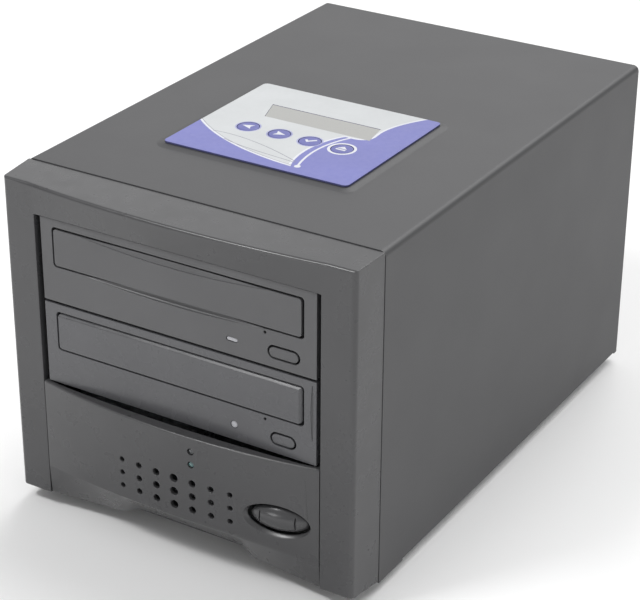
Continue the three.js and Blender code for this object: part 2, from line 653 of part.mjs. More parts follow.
function clampBridge() {
  const plate = block(-69, 69, DISC_Y - 12, DISC_Y + 12, 34.4, 35.6);
  return cut(plate, [disc('z', 0, DISC_Y, 10, 30, 40, 24)]);
}

function clampPuck() {
  return turned([[0, 30], [14, 30], [14, 33.2], [8.5, 33.2], [8.5, 36.3], [12.5, 36.3], [12.5, 38],
    [0, 38]], 16);
}

// ---- power supply, fans, electronics ----
function psuCase() {
  const x0 = PSU_X - PSU_W / 2;
  const x1 = PSU_X + PSU_W / 2;
  const y1 = REAR_FACE - 0.3;
  const y0 = y1 - PSU_L;
  const z1 = PSU_FLOOR + PSU_H;
  const body = block(x0, x1, y0, y1, PSU_FLOOR, z1);
  const inside = block(x0 + SHEET, x1 - SHEET, y0 + SHEET, y1 - SHEET, PSU_FLOOR + SHEET, z1 - SHEET);
  const vents = steps(x0 + 8, x1 - 13, 6).map((x) => block(x, x + 5, y0 - 1, y0 + 2, PSU_FLOOR + 6, z1 - 6));
  const grille = fanGrille(PSU_FAN_X, INLET_Z, PSU_FAN_R - 0.5, 2, y1 - 2, y1 + 1);
  const socket = block(INLET_X - 14, INLET_X + 14, y1 - 2, y1 + 1, INLET_Z - 10.2, INLET_Z + 10.2);
  const spindle = disc('y', PSU_FAN_X, INLET_Z, 2, y1 - 6, y1 - 0.5, 12);
  return cut(body, [inside, ...vents, grille, socket]).add(spindle);
}

function powerInlet() {
  const y1 = REAR_FACE + SHEET + 0.4;
  const flange = block(INLET_X - 13.7, INLET_X + 13.7, y1 - 25, y1, INLET_Z - 9.9, INLET_Z + 9.9);
  const mouth = roundedRect(INLET_X - 12, INLET_X + 12, INLET_Z - 8, INLET_Z + 8, 2);
  const socket = prism('y', mouth, y1 - 16, y1 + 2, 3);
  const pins = [[-7, -2.5], [0, 2], [7, -2.5]].map(([x, z]) => block(INLET_X + x - 1, INLET_X + x + 1,
    y1 - 17, y1 - 4.8, INLET_Z + z - 2, INLET_Z + z + 2));
  return cut(flange, [socket]).add(sum(pins));
}

// blades of a small axial fan round a hub that spins on the lengthwise axis
function fanRotor(radius, hubR, thick, blades) {
  const bearing = disc('z', 0, 0, 2.4, 0, thick - 2, 12);
  const hub = cut(turned([[0, 1], [hubR, 1], [hubR, thick], [0, thick]], 24), [bearing]);
  const pitch = THREE.MathUtils.degToRad(38);
  const blade = (i) => {
    const geometry = new THREE.BoxGeometry(radius - hubR + 1, 1.4, thick * 1.1);
    geometry.rotateX(pitch).translate((radius + hubR) / 2 - 0.5, 0, thick / 2 + 0.5);
    geometry.rotateZ((i / blades) * Math.PI * 2);
    return solidOf(geometry);
  };
  const sweep = disc('z', 0, 0, radius, 0.6, thick + 0.4, 32);
  return hub.add(sum(steps(0, blades - 1, blades - 1).map(blade)).intersect(sweep));
}

function fanFrame() {
  const half = FAN_SIZE / 2;
  const y1 = REAR_FACE - 0.4;
  const y0 = y1 - FAN_T;
  const body = prism('y', roundedRect(FAN_X - half, FAN_X + half, FAN_Z - half, FAN_Z + half, 5), y0, y1, 1);
  const bore = disc('y', FAN_X, FAN_Z, FAN_BORE, y0 - 1, y1 + 1, 32);
  const hub = disc('y', FAN_X, FAN_Z, 15, y1 - 3, y1, 16);
  const struts = [0, 60, 120].map((angle) => {
    const geometry = new THREE.BoxGeometry(FAN_BORE * 2 + 2, 2, 3);
    geometry.rotateY(THREE.MathUtils.degToRad(angle)).translate(FAN_X, y1 - 1.2, FAN_Z);
    return solidOf(geometry);
  });
  const spindle = disc('y', FAN_X, FAN_Z, 2, y1 - 19, y1 - 1, 12);
  const hole = 35.75;
  const corners = [-1, 1].flatMap((a) => [-1, 1].map((b) =>
    disc('y', FAN_X + a * hole, FAN_Z + b * hole, 2.1, y0 - 1, y1 + 1, 10)));
  return cut(body, [bore, ...corners]).add(sum([hub, ...struts, spindle]));
}

function controllerBoard() {
  const z = 8;
  const pcb = block(-88, -16, 112, 246, z, z + 1.6);
  const posts = [[-84, 118], [-20, 118], [-84, 240], [-20, 240]].map(([x, y]) =>
    disc('z', x, y, 2.5, 1.7, z + 0.4, 10));
  const chips = [[-52, 180, 14, 2.4], [-70, 140, 8, 1.8], [-36, 140, 7, 1.6]];
  const packages = chips.map(([x, y, half, h]) =>
    block(x - half, x + half, y - half, y + half, z + 1.4, z + 1.6 + h));
  const sink = steps(-60, -44, 4).map((x) => block(x - 0.8, x + 0.8, 170, 190, z + 3.6, z + 14));
  const sockets = [-74, -52, -30].map((x) => block(x - 8, x + 8, 212, 222, z + 1.4, z + 9));
  return sum([pcb, ...posts, ...packages, ...sink, ...sockets]);
}

function lcdModule() {
  const top = LCD_TOP;
  const pcb = block(-42, 40, 73, 121, top - 12, top - 10.4);
  const glass = block(LCD_X[0] - 2.5, LCD_X[1] + 2.5, LCD_Y[0] - 3, LCD_Y[1] + 3, top - 10.6, top);
  const switches = KEY_XS.map((x) => block(x - 3, x + 3, KEY_Y - 3, KEY_Y + 3, top - 10.6, top - 1.6));
  return sum([pcb, glass, ...switches]);
}

function controlLabel() {
  const low = LABEL_LOW;
  const plate = prism('z', roundedRect(...LABEL_X, ...LABEL_Y, LABEL_R), low, low + LABEL_T, 4);
  return cut(plate, KEY_XS.map((x) => disc('z', x, KEY_Y, KEY_R + 0.25, low - 1, low + 2, 20)));
}

function key(x) {
  const high = LABEL_LOW + LABEL_T + 0.2;
  const cap = disc('z', x, KEY_Y, KEY_R, CASE_H - 1.6, high, 20);
  return cap.add(disc('z', x, KEY_Y, 2.2, CASE_H - 2 * SHEET - 1.6, CASE_H - 1, 8));
}

// a side bracket of the drive cage, with a foot on the base pan and holes for the drive screws
function driveCage(side) {
  const inner = SHELL_HALF + 0.5;
  const plate = block(...span(side, inner, inner + SHEET), 3, 150, 64, 152);
  const leg = block(...span(side, inner, inner + SHEET), 3, 100, 1.7, 66);
  const footing = block(...span(side, inner, 90), 3, 100, 1.7, 1.7 + SHEET);
  const holes = [30, 110].flatMap((y) => DRIVE_BASES.map((z) =>
    disc('x', y, z + 12, 1.8, -CASE_W, CASE_W, 8)));
  return cut(sum([plate, leg, footing]), holes);
}

// ---- looks of the two drives' fronts ----
const DRIVE_LOOKS = [
  { pinX: 47.6, pinZ: 16.1, ledX: 30.4, ledZ: 7.7, ledHalf: 2.9, ledR: 0.95, ejectX: 56.9, ejectZ: 7.3,
    ejectHalf: 7.7, ejectR: 2.7 },
  { pinX: 47.3, pinZ: 15.9, ledX: 30.8, ledZ: 7.9, ledHalf: 1.75, ledR: 1.75, ejectX: 56.5, ejectZ: 7.2,
    ejectHalf: 6.1, ejectR: 2.7 },
];

// ---- materials ----
const finish = (color, roughness, metalness = 0) => () =>
  new THREE.MeshStandardMaterial({ color, roughness, metalness });
const POWDER = finish('#6a6a6c', 0.6, 0.3);
const BEZEL_PLASTIC = finish('#5f5f61', 0.45);
const DRIVE_PLASTIC = finish('#6b6a6d', 0.5);
const BLUE_PLASTIC = finish('#696b70', 0.5);
const STEEL = finish('#a9abad', 0.35, 0.9);
const DARK_PLASTIC = finish('#232325', 0.5);
const BEIGE_PLASTIC = finish('#3a3c3f', 0.6);
const RUBBER = finish('#1b1b1c', 0.9);
const BOARD = finish('#1f5a3a', 0.5);
const LABEL = finish('#c9cad6', 0.35);
const VIOLET = finish('#8f8fcf', 0.4);
const CLEAR = finish('#e8e8ea', 0.2);
const TEAL = finish('#7fb7b4', 0.2);

// ---- assembly ----
const tower = new THREE.Group();

function add(parent, name, made, material) {
  const solid = made.solid ?? made;
  const mesh = new THREE.Mesh(geometryOf(solid), material());
  mesh.name = name;
  if (made.place) mesh.position.set(...made.place);
  if (made.turn) mesh.rotation.set(...made.turn);
  parent.add(mesh);
}

add(tower, 'case_cover', caseCover(), POWDER);
add(tower, 'base_pan', basePan(), STEEL);
add(tower, 'rear_panel', rearPanel(), POWDER);
add(tower, 'front_bezel', frontBezel(), BEZEL_PLASTIC);
add(tower, 'lower_panel', lowerPanel(), BEZEL_PLASTIC);
add(tower, 'power_button', powerButton(), BEZEL_PLASTIC);
add(tower, 'power_led', ledLens(LED_ZS[0]), TEAL);
add(tower, 'disc_led', ledLens(LED_ZS[1]), CLEAR);
add(tower, 'drive_cage_left', driveCage(-1), STEEL);
add(tower, 'drive_cage_right', driveCage(1), STEEL);

['front_left', 'front_right', 'rear_left', 'rear_right'].forEach((name, i) => {
  const [x, y] = footPlaces()[i];
  add(tower, `foot_${name}`, { solid: foot(), place: [x, y, 0] }, RUBBER);
});
screwPlaces().forEach((place, i) => add(tower, `cover_screw_${i + 1}`, coverScrew(place), STEEL));

add(tower, 'psu_case', psuCase(), STEEL);
add(tower, 'power_inlet', powerInlet(), DARK_PLASTIC);
const psuRotor = { solid: fanRotor(PSU_FAN_R - 0.8, 9, 11, 7), place: [PSU_FAN_X, REAR_FACE - 2, INLET_Z],
  turn: [Math.PI / 2, 0, 0] };
add(tower, 'psu_fan_rotor', psuRotor, DARK_PLASTIC);
add(tower, 'rear_fan_frame', fanFrame(), DARK_PLASTIC);
const rearRotor = { solid: fanRotor(FAN_BORE - 1, 15, 18, 7), place: [FAN_X, REAR_FACE - 4, FAN_Z],
  turn: [Math.PI / 2, 0, 0] };
add(tower, 'rear_fan_rotor', rearRotor, DARK_PLASTIC);
add(tower, 'controller_board', controllerBoard(), BOARD);

add(tower, 'lcd_module', lcdModule(), BOARD);
add(tower, 'control_label', controlLabel(), LABEL);
['previous', 'next', 'confirm', 'back'].forEach((name, i) =>
  add(tower, `key_${name}`, key(KEY_XS[i]), VIOLET));

DRIVE_LOOKS.forEach((look, i) => {
  const drive = new THREE.Group();
  const plastic = i === 0 ? DRIVE_PLASTIC : BLUE_PLASTIC;
  const name = (piece) => `drive${i + 1}_${piece}`;
  drive.position.set(0, DRIVE_FACE, DRIVE_BASES[i]);
  add(drive, name('bezel'), driveBezel(look), plastic);
  add(drive, name('shell'), driveShell(), STEEL);
  add(drive, name('cover'), driveCover(), STEEL);
  add(drive, name('board'), driveBoard(), BOARD);
  add(drive, name('loader_frame'), driveFrame(), BEIGE_PLASTIC);
  add(drive, name('led'), driveLed(look), CLEAR);
  add(drive, name('clamp_bridge'), clampBridge(), STEEL);
  add(drive, name('clamp_puck'), { solid: clampPuck(), place: [0, DISC_Y, 0] }, DARK_PLASTIC);
  add(drive, name('tray'), driveTray(), BEIGE_PLASTIC);
  add(drive, name('tray_door'), trayDoor(), plastic);
  add(drive, name('eject_button'), ejectButton(look), plastic);
  add(drive, name('load_gear'), loadGear(), CLEAR);
  add(drive, name('traverse'), traverse(), STEEL);
  add(drive, name('turntable'), { solid: turntable(), place: [0, DISC_Y, 0] }, DARK_PLASTIC);
  add(drive, name('laser_sled'), laserSled(), STEEL);
  tower.add(drive);
});

const frontmost = -BEZEL_D - PANEL_BULGE;
const rearmost = CASE_D + 0.05 + SCREW_HEAD;
tower.position.set(0, -(frontmost + rearmost) / 2, FOOT_H);

export default tower;
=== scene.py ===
"""Looks of a one-to-one disc duplicator tower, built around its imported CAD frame.

Lengths are millimetres in the tower's own terms until place() turns them into metres of the row frame:
x runs to the right, y backwards from the seam between case cover and bezel, z upwards from the case's
bottom edge.
"""

import math

import bmesh
import bpy
from mathutils import Matrix, Vector
from mathutils.geometry import delaunay_2d_cdt


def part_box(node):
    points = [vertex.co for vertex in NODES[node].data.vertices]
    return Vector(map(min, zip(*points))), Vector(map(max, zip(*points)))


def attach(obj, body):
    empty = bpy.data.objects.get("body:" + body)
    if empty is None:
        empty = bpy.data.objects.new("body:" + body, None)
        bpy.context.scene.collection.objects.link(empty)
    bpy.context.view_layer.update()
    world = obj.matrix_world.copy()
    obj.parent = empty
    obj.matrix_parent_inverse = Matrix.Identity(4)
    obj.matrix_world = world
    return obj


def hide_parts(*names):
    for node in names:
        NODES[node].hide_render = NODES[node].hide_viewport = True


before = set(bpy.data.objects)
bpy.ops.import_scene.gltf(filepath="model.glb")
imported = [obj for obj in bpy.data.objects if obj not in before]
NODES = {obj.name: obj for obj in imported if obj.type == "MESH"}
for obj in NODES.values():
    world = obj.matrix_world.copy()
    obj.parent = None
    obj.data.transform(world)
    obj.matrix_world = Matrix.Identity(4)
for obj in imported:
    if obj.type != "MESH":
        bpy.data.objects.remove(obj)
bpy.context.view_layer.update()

SCENE = bpy.context.scene

MM = 0.001
COVER_LOW, COVER_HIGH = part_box("case_cover")
SEAM = COVER_LOW.y
BASE = COVER_LOW.z


def place(x, y, z):
    """A point of the tower, in mm, as a point of the row frame, in metres."""
    return Vector((x * MM, SEAM + y * MM, BASE + z * MM))


def tower_box(node):
    """The corners of a CAD node in tower millimetres."""
    low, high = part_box(node)
    shift = Vector((0, SEAM, BASE))
    return (low - shift) / MM, (high - shift) / MM


# ---- sizes, from the frame where it has them ----
CASE_HALF = COVER_HIGH.x / MM
PLATEAU_H = 0.9
CASE_TOP = (COVER_HIGH.z - BASE) / MM - PLATEAU_H
CASE_DEPTH = (COVER_HIGH.y - SEAM) / MM
SHEET = 1
CASE_BEND = 3
COVER_LIP = 9
HEM_FRONT = 22
HEM_REAR = CASE_DEPTH - 3
HEM_REACH = 2
SCREW_HOLE_R = 1.9
CLEAR = 5  # how far a cutter runs past what it cuts

BEZEL_DEPTH = 21.4
BEZEL_HALF = tower_box("front_bezel")[1].x
BEZEL_FRONT_HALF = 93.8
BEZEL_TOP = tower_box("front_bezel")[1].z
BEZEL_FRONT_TOP = BEZEL_TOP - 0.8
BEZEL_FOOT = 1
BEZEL_FRONT_FOOT = 3
BEZEL_CORNER = 2.5
BEZEL_WALL = 2.5
OPENING_HALF = 76.6
OPENING_TOP = 151.8
MOUTH_FOOT = 8
WELL_FOOT = 6
BROW_BOW = 4.7
BROW_HALF = 80
BROW_ROUND = 1.5

PANEL_HALF = tower_box("lower_panel")[1].x
PANEL_TOP = tower_box("lower_panel")[1].z
PANEL_BULGE = 8
PANEL_CURVE_HALF = PANEL_HALF + 0.7
PANEL_FOOT_SETBACK = 0.6
PANEL_FOOT = BEZEL_FRONT_FOOT + 0.2
PANEL_BACK = -10
PANEL_WALL = 2.2
PANEL_ROUND = 0.9
LEDGE_Y = -20.6
LEDGE_BOW = 3.2
CHIN_END = 18.6
CHIN_RISE = 2.6
UNDERCUT = 4.8
ARCH_LEFT = -38
ARCH_LEFT_RAMP = 13
ARCH_RIGHT = 40
ARCH_RIGHT_RAMP = 8
ARCH_LIFT = 4.6
VENT_X = 3
VENT_Z = 34.4
VENT_PITCH_X = 10
VENT_PITCH_Z = 7.05
VENT_RADII = (1.25, 1.5, 1.8, 2.1, 1.8, 1.5, 1.25)
LED_X = 12.6
LED_ZS = {"power_led": 51.4, "disc_led": 58.3}
LED_R = 1.5
POWER_X = 56.3
POWER_Z = 34.2
POWER_SEMI = (15.4, 7.3)
POWER_RIM = 1.2
POWER_DOME = (17, 9.2, 8)
POWER_PROUD = 1.2
POWER_REAR = -12.5
POWER_GROOVE_X = 8.6

DRIVE_HALF = 74
DRIVE_HEIGHT = 41.9
DRIVE_BEZEL_T = 5
DOOR_HALF = 67.2
DOOR_LOW = 18.3
DOOR_HEIGHT = 19.3
DOOR_T = 2.8
DOOR_GAP = 0.4
DOOR_CORNER = 1.6
DOOR_TOP = DOOR_LOW + DOOR_HEIGHT - 0.6
DOOR_RIGHT = DOOR_HALF - 1
DOOR_HOOK_X = 50
DOOR_HOOK_LOW = 27.4

LABEL_X = (-51.9, 48.8)
LABEL_Y = (46, 135)
LABEL_R = 2.5
PLATEAU_MARGIN = 0.3
PLATEAU_SLOPE = 4
LCD_X = (-33.2, 30.8)
LCD_Y = (97, 112.5)
KEYS = {"previous": -27.4, "next": -9.8, "confirm": 7.2, "back": 24.8}
KEY_Y = 81.8
KEY_R = 5.4
KEY_CLEARANCE = 0.7

# ---- the two drives' fronts: pinhole, light and eject button, from the drive's own bottom centre ----
DRIVES = {
    "drive1": {"pin": (47.6, 16.1), "led": (30.4, 7.7, 2.9, 0.95), "eject": (56.9, 7.3, 7.7, 2.7)},
    "drive2": {"pin": (47.3, 15.9), "led": (30.8, 7.9, 1.75, 1.75), "eject": (56.5, 7.2, 6.1, 2.7)},
}


# ---- outlines: lists of points in a plane ----
def arc(x, y, radius, start, end, count):
    """Points along an arc, its angles in degrees."""
    angles = [math.radians(start + (end - start) * i / count) for i in range(count + 1)]
    return [(x + radius * math.cos(a), y + radius * math.sin(a)) for a in angles]


def rounded_rect(x0, x1, y0, y1, r, count=8):
    return (
        arc(x1 - r, y0 + r, r, -90, 0, count)
        + arc(x1 - r, y1 - r, r, 0, 90, count)
        + arc(x0 + r, y1 - r, r, 90, 180, count)
        + arc(x0 + r, y0 + r, r, 180, 270, count)
    )


def rect(x0, x1, y0, y1):
    return [(x0, y0), (x1, y0), (x1, y1), (x0, y1)]


def stadium(x, y, half, r, count=12):
    return arc(x + half - r, y, r, -90, 90, count) + arc(x - half + r, y, r, 90, 270, count)


def ellipse(x, y, semi_x, semi_y, count=48):
    angles = [2 * math.pi * i / count for i in range(count)]
    return [(x + semi_x * math.cos(a), y + semi_y * math.sin(a)) for a in angles]


def bezier(a, b, c, d, count=14):
    """Points of a cubic curve from a to d, with its handles b and c."""
    points = []
    for i in range(count + 1):
        t = i / count
        weights = ((1 - t) ** 3, 3 * t * (1 - t) ** 2, 3 * t * t * (1 - t), t**3)
        points.append(tuple(sum(w * p[k] for w, p in zip(weights, (a, b, c, d))) for k in (0, 1)))
    return points


def spread(low, high, count):
    return [low + (high - low) * i / count for i in range(count + 1)]


def smooth(t):
    t = min(1, max(0, t))
    return t * t * (3 - 2 * t)


def crown(x, half):
    return max(0, 1 - (x / half) ** 2)


# ---- solids ----
def solid(name, points, faces):
    """A closed mesh object from points in tower millimetres."""
    mesh = bpy.data.meshes.new(name)
    mesh.from_pydata([place(*p) for p in points], [], faces)
    tidy = bmesh.new()
    tidy.from_mesh(mesh)
    bmesh.ops.recalc_face_normals(tidy, faces=tidy.faces)
    tidy.to_mesh(mesh)
    tidy.free()
    made = bpy.data.objects.new(name, mesh)
    SCENE.collection.objects.link(made)
    return made


def skin(name, rings):
    """A closed body through rings of equal counts, with a flat face over the first and the last."""
    count = len(rings[0])
    points = [p for ring in rings for p in ring]
    faces = [tuple(range(count)), tuple(range(len(points) - count, len(points)))]
    for i in range(len(rings) - 1):
        for j in range(count):
            a, b = i * count + j, i * count + (j + 1) % count
            faces.append((a, b, b + count, a + count))
    return solid(name, points, faces)


AXES = {
    "x": lambda a, b, level: (level, a, b),
    "y": lambda a, b, level: (a, level, b),
    "z": lambda a, b, level: (a, b, level),
}


def stack(name, axis, levels):
    """A body through outlines that stand across an axis; levels is a list of (outline, level)."""
    to_point = AXES[axis]
    return skin(name, [[to_point(a, b, level) for a, b in outline] for outline, level in levels])


def prism(name, axis, outline, start, end):
    return stack(name, axis, [(outline, start), (outline, end)])


def block(name, x0, x1, y0, y1, z0, z1):
    return prism(name, "z", rect(x0, x1, y0, y1), z0, z1)


def turned(name, axis, centre, profile, count=48):
    """A turned body; profile lists (radius, level) along the axis."""
    levels = [(ellipse(*centre, r, r, count), level) for r, level in profile]
    return stack(name, axis, levels)


def drop(*made):
    for one in made:
        bpy.data.objects.remove(one)


def bake_modifiers(made):
    """Turns what the modifiers show into the object's own mesh."""
    bpy.context.view_layer.update()
    shown = made.evaluated_get(bpy.context.evaluated_depsgraph_get())
    mesh = bpy.data.meshes.new_from_object(shown)
    made.modifiers.clear()
    made.data = mesh


def boolean(made, tools, operation):
    for tool in tools:
        step = made.modifiers.new(operation, "BOOLEAN")
        step.solver = "EXACT"
        step.operation = operation
        step.object = tool
    bake_modifiers(made)
    drop(*tools)


def carve(made, *tools):
    boolean(made, tools, "DIFFERENCE")


def weld(made, *others):
    boolean(made, others, "UNION")


def keep_inside(made, *others):
    boolean(made, others, "INTERSECT")


def merged(name, parts):
    """One object from several separate bodies, to cut with in one go."""
    joined = bmesh.new()
    for part in parts:
        joined.from_mesh(part.data)
    mesh = bpy.data.meshes.new(name)
    joined.to_mesh(mesh)
    joined.free()
    drop(*parts)
    made = bpy.data.objects.new(name, mesh)
    SCENE.collection.objects.link(made)
    return made


def edge_round(made, width, segments=2, angle=32):
    step = made.modifiers.new("edge_round", "BEVEL")
    step.width = width * MM
    step.segments = segments
    step.limit_method = "ANGLE"
    step.angle_limit = math.radians(angle)
    step.use_clamp_overlap = False


def shade(mesh, angle=40):
    mesh.polygons.foreach_set("use_smooth", [True] * len(mesh.polygons))
    mesh.set_sharp_from_angle(angle=math.radians(angle))


def even_normals(made):
    """Keeps broad faces flat-looking beside their rounded edges."""
    step = made.modifiers.new("even_normals", "WEIGHTED_NORMAL")
    step.keep_sharp = True


def dress(made, finish, body, nodes=(), slot=None, rounding=0.25, segments=2, angle=32):
    """Rounds a finished body's edges, gives it its material and puts it on its CAD body."""
    if rounding:
        edge_round(made, rounding, segments, angle)
        bake_modifiers(made)
    shade(made.data)
    even_normals(made)
    made.data.materials.clear()
    made.data.materials.append(finish)
    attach(made, body)
    if nodes:
        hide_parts(*nodes)


# ---- materials ----
NOISE_ENDS = (0.3, 0.7)


class Finish:
    """A material's node tree, with short ways to add what most finishes need."""

    def __init__(self, name, color, roughness, metallic=0.0):
        self.made = bpy.data.materials.new(name)
        self.made.use_nodes = True
        self.nodes = self.made.node_tree.nodes
        self.links = self.made.node_tree.links
        self.shader = self.nodes["Principled BSDF"]
        self.color = color
        self.shader.inputs["Base Color"].default_value = (*color, 1)
        self.shader.inputs["Roughness"].default_value = roughness
        self.shader.inputs["Metallic"].default_value = metallic
        self.where = self.nodes.new("ShaderNodeTexCoord").outputs["Object"]

    def set(self, **values):
        for name, value in values.items():
            self.shader.inputs[name.replace("_", " ")].default_value = value

    def noise(self, pitch, detail=3.0, stretch=(1, 1, 1)):
        """Noise whose cells are about pitch millimetres, stretched along an axis if asked."""
        mapping = self.nodes.new("ShaderNodeMapping")
        mapping.inputs["Scale"].default_value = tuple(1 / s for s in stretch)
        self.links.new(self.where, mapping.inputs["Vector"])
        texture = self.nodes.new("ShaderNodeTexNoise")
        texture.inputs["Scale"].default_value = 1 / (pitch * MM)
        texture.inputs["Detail"].default_value = detail
        self.links.new(mapping.outputs["Vector"], texture.inputs["Vector"])
        return texture.outputs["Fac"]

    def cells(self, pitch):
        texture = self.nodes.new("ShaderNodeTexVoronoi")
        texture.inputs["Scale"].default_value = 1 / (pitch * MM)
        self.links.new(self.where, texture.inputs["Vector"])
        return texture.outputs["Distance"]

    def ramp(self, value, stops):
        """value looked up in a ramp of (position, grey or colour)."""
        ramp = self.nodes.new("ShaderNodeValToRGB")
        elements = ramp.color_ramp.elements
        while len(elements) < len(stops):
            elements.new(0.5)
        for element, (position, shade_of) in zip(elements, stops):
            element.position = position
            color = shade_of if isinstance(shade_of, tuple) else (shade_of,) * 3
            element.color = (*color, 1)
        self.links.new(value, ramp.inputs["Fac"])
        return ramp.outputs["Color"]

    def tint(self, value, low, high, ends=NOISE_ENDS):
        """The colour varies from low to high times its base with value."""
        dark = tuple(c * low for c in self.color)
        light = tuple(min(1, c * high) for c in self.color)
        self.paint(self.ramp(value, [(ends[0], dark), (ends[1], light)]))

    def paint(self, out):
        self.links.new(out, self.shader.inputs["Base Color"])

    def rough(self, value, low, high):
        out = self.ramp(value, list(zip(NOISE_ENDS, (low, high))))
        self.links.new(out, self.shader.inputs["Roughness"])

    def sum(self, first, second, share):
        """first plus share times second."""
        node = self.nodes.new("ShaderNodeMath")
        node.operation = "MULTIPLY_ADD"
        self.links.new(second, node.inputs[0])
        node.inputs[1].default_value = share
        self.links.new(first, node.inputs[2])
        return node.outputs["Value"]

    def bump(self, height, depth, strength=1.0):
        """Relief of about depth millimetres."""
        node = self.nodes.new("ShaderNodeBump")
        node.inputs["Distance"].default_value = depth * MM
        node.inputs["Strength"].default_value = strength
        self.links.new(height, node.inputs["Height"])
        self.links.new(node.outputs["Normal"], self.shader.inputs["Normal"])
        return self


def powder_finish():
    """Black powder paint: a fine pebbled texture."""
    made = Finish("powder_coat", (0.052, 0.052, 0.0545), 0.48)
    grain = made.noise(0.9, 2)
    made.tint(made.sum(made.noise(90, 2), grain, 0.6), 0.96, 1.04, (0.5, 1.0))
    made.rough(made.noise(30, 3), 0.47, 0.5)
    return made.bump(made.sum(grain, made.cells(0.55), 0.5), 0.05, 0.35).made


def moulded_finish(name, color, roughness, pitch=0.35, relief=0.02, spread_by=0.05):
    """Spark-textured injection moulding: a fine even grain over faint flow marks."""
    made = Finish(name, color, roughness)
    made.tint(made.noise(35, 3), 1 - spread_by, 1 + spread_by)
    made.rough(made.noise(9, 3), roughness - 0.04, roughness + 0.05)
    return made.bump(made.noise(pitch, 2), relief, 0.12).made


def steel_finish(name, color, roughness, spangle=6.0):
    """Plated steel with crystal spangle and faint rolling marks."""
    made = Finish(name, color, roughness, 1.0)
    made.tint(made.cells(spangle), 0.86, 1.06, (0.1, 0.8))
    made.rough(made.noise(2.5, 3, (1, 8, 1)), roughness - 0.07, roughness + 0.1)
    return made.bump(made.noise(0.4, 2, (1, 10, 1)), 0.01, 0.25).made


def rubber_finish():
    made = Finish("foot_rubber", (0.018, 0.018, 0.019), 0.85)
    made.tint(made.noise(3, 3), 0.8, 1.25)
    return made.bump(made.noise(0.5, 3), 0.06, 0.5).made


def board_finish():
    """Green solder mask over etched tracks, with a faint glass weave."""
    made = Finish("circuit_board", (0.012, 0.12, 0.055), 0.38)
    made.paint(made.ramp(made.cells(3.2), [(0.42, made.color), (0.5, (0.03, 0.22, 0.1))]))
    made.rough(made.noise(1.5, 2), 0.32, 0.45)
    return made.bump(made.noise(0.8, 2), 0.03, 0.4).made


def film_finish(name, color, roughness=0.36):
    """Printed polyester film with a faint print mottle and a satin grain."""
    made = Finish(name, color, roughness)
    made.tint(made.noise(18, 2), 0.97, 1.03)
    made.rough(made.noise(2.2, 2), roughness - 0.04, roughness + 0.06)
    return made.bump(made.noise(0.3, 2), 0.01, 0.25).made


def lens_finish(name, color, roughness=0.15):
    made = Finish(name, color, roughness)
    made.set(Transmission_Weight=0.25, IOR=1.49, Coat_Weight=0.5, Coat_Roughness=0.08)
    made.tint(made.noise(0.9, 2), 0.9, 1.1)
    return made.bump(made.noise(0.5, 1), 0.01, 0.2).made


def screen_finish():
    """Reflective display glass over a faintly uneven, unlit liquid crystal."""
    made = Finish("display_glass", (0.315, 0.315, 0.303), 0.4)
    made.set(Coat_Weight=0.25, Coat_Roughness=0.2)
    made.tint(made.noise(0.5, 1), 0.97, 1.03)
    return made.bump(made.noise(6, 1), 0.01, 0.15).made


MATERIALS = {
    "powder": powder_finish(),
    "bezel": moulded_finish("bezel_plastic", (0.056, 0.056, 0.0585), 0.29, 0.6, 0.006),
    "button": moulded_finish("button_plastic", (0.056, 0.056, 0.0585), 0.24, relief=0.004),
    "drive1": moulded_finish("drive1_plastic", (0.079, 0.079, 0.0825), 0.36, 0.5, 0.01),
    "drive2": moulded_finish("drive2_plastic", (0.084, 0.0845, 0.09), 0.26, 0.5, 0.002),
    "zinc": steel_finish("zinc_steel", (0.56, 0.57, 0.58), 0.38),
    "screw": steel_finish("screw_steel", (0.16, 0.16, 0.17), 0.34, 2.0),
    "rubber": rubber_finish(),
    "black": moulded_finish("black_plastic", (0.024, 0.024, 0.026), 0.45),
    "tray": moulded_finish("tray_plastic", (0.045, 0.046, 0.05), 0.5, 0.4, 0.02),
    "gear": moulded_finish("gear_plastic", (0.62, 0.6, 0.54), 0.42, 0.6, 0.008),
    "cast": steel_finish("cast_sled", (0.42, 0.42, 0.44), 0.5, 3.0),
    "board": board_finish(),
    "white_film": film_finish("white_film", (0.485, 0.5, 0.509)),
    "violet_film": film_finish("violet_film", (0.137, 0.145, 0.4)),
    "pale_film": film_finish("pale_film", (0.3, 0.31, 0.5)),
    # a darker copy of the violet print for the film's cut edges: painted shade along the label's edge
    "shaded_edge_film": film_finish("shaded_edge_film", (0.075, 0.08, 0.2)),
    "grey_film": film_finish("grey_film", (0.16, 0.165, 0.21)),
    "key_film": film_finish("key_film", (0.105, 0.112, 0.33), 0.42),
    "icon_film": film_finish("icon_film", (0.6, 0.61, 0.65), 0.4),
    "screen": screen_finish(),
    "white_lens": lens_finish("white_lens", (0.45, 0.45, 0.48)),
    "clear_lens": lens_finish("clear_lens", (0.07, 0.075, 0.08)),
    "teal_lens": lens_finish("teal_lens", (0.1, 0.2, 0.2)),
}


# ---- camera, floor and light ----
CAMERA_AZIMUTH = 31.35
CAMERA_ELEVATION = 26.93
CAMERA_ROLL = 0.34
CAMERA_AT = (474.6, -675.5, 538.3)
CAMERA_LENS = 115.0
FLOOR_REACH = 30.0
LIGHT_AIM = Vector((0, 0, 0.09))
WORLD_STRENGTH = 0.4


def direction(azimuth, elevation):
    """Towards azimuth, 0 in front of the tower and 90 to its right, and up by elevation."""
    a, e = math.radians(azimuth), math.radians(elevation)
    return Vector((math.sin(a) * math.cos(e), -math.cos(a) * math.cos(e), math.sin(e)))


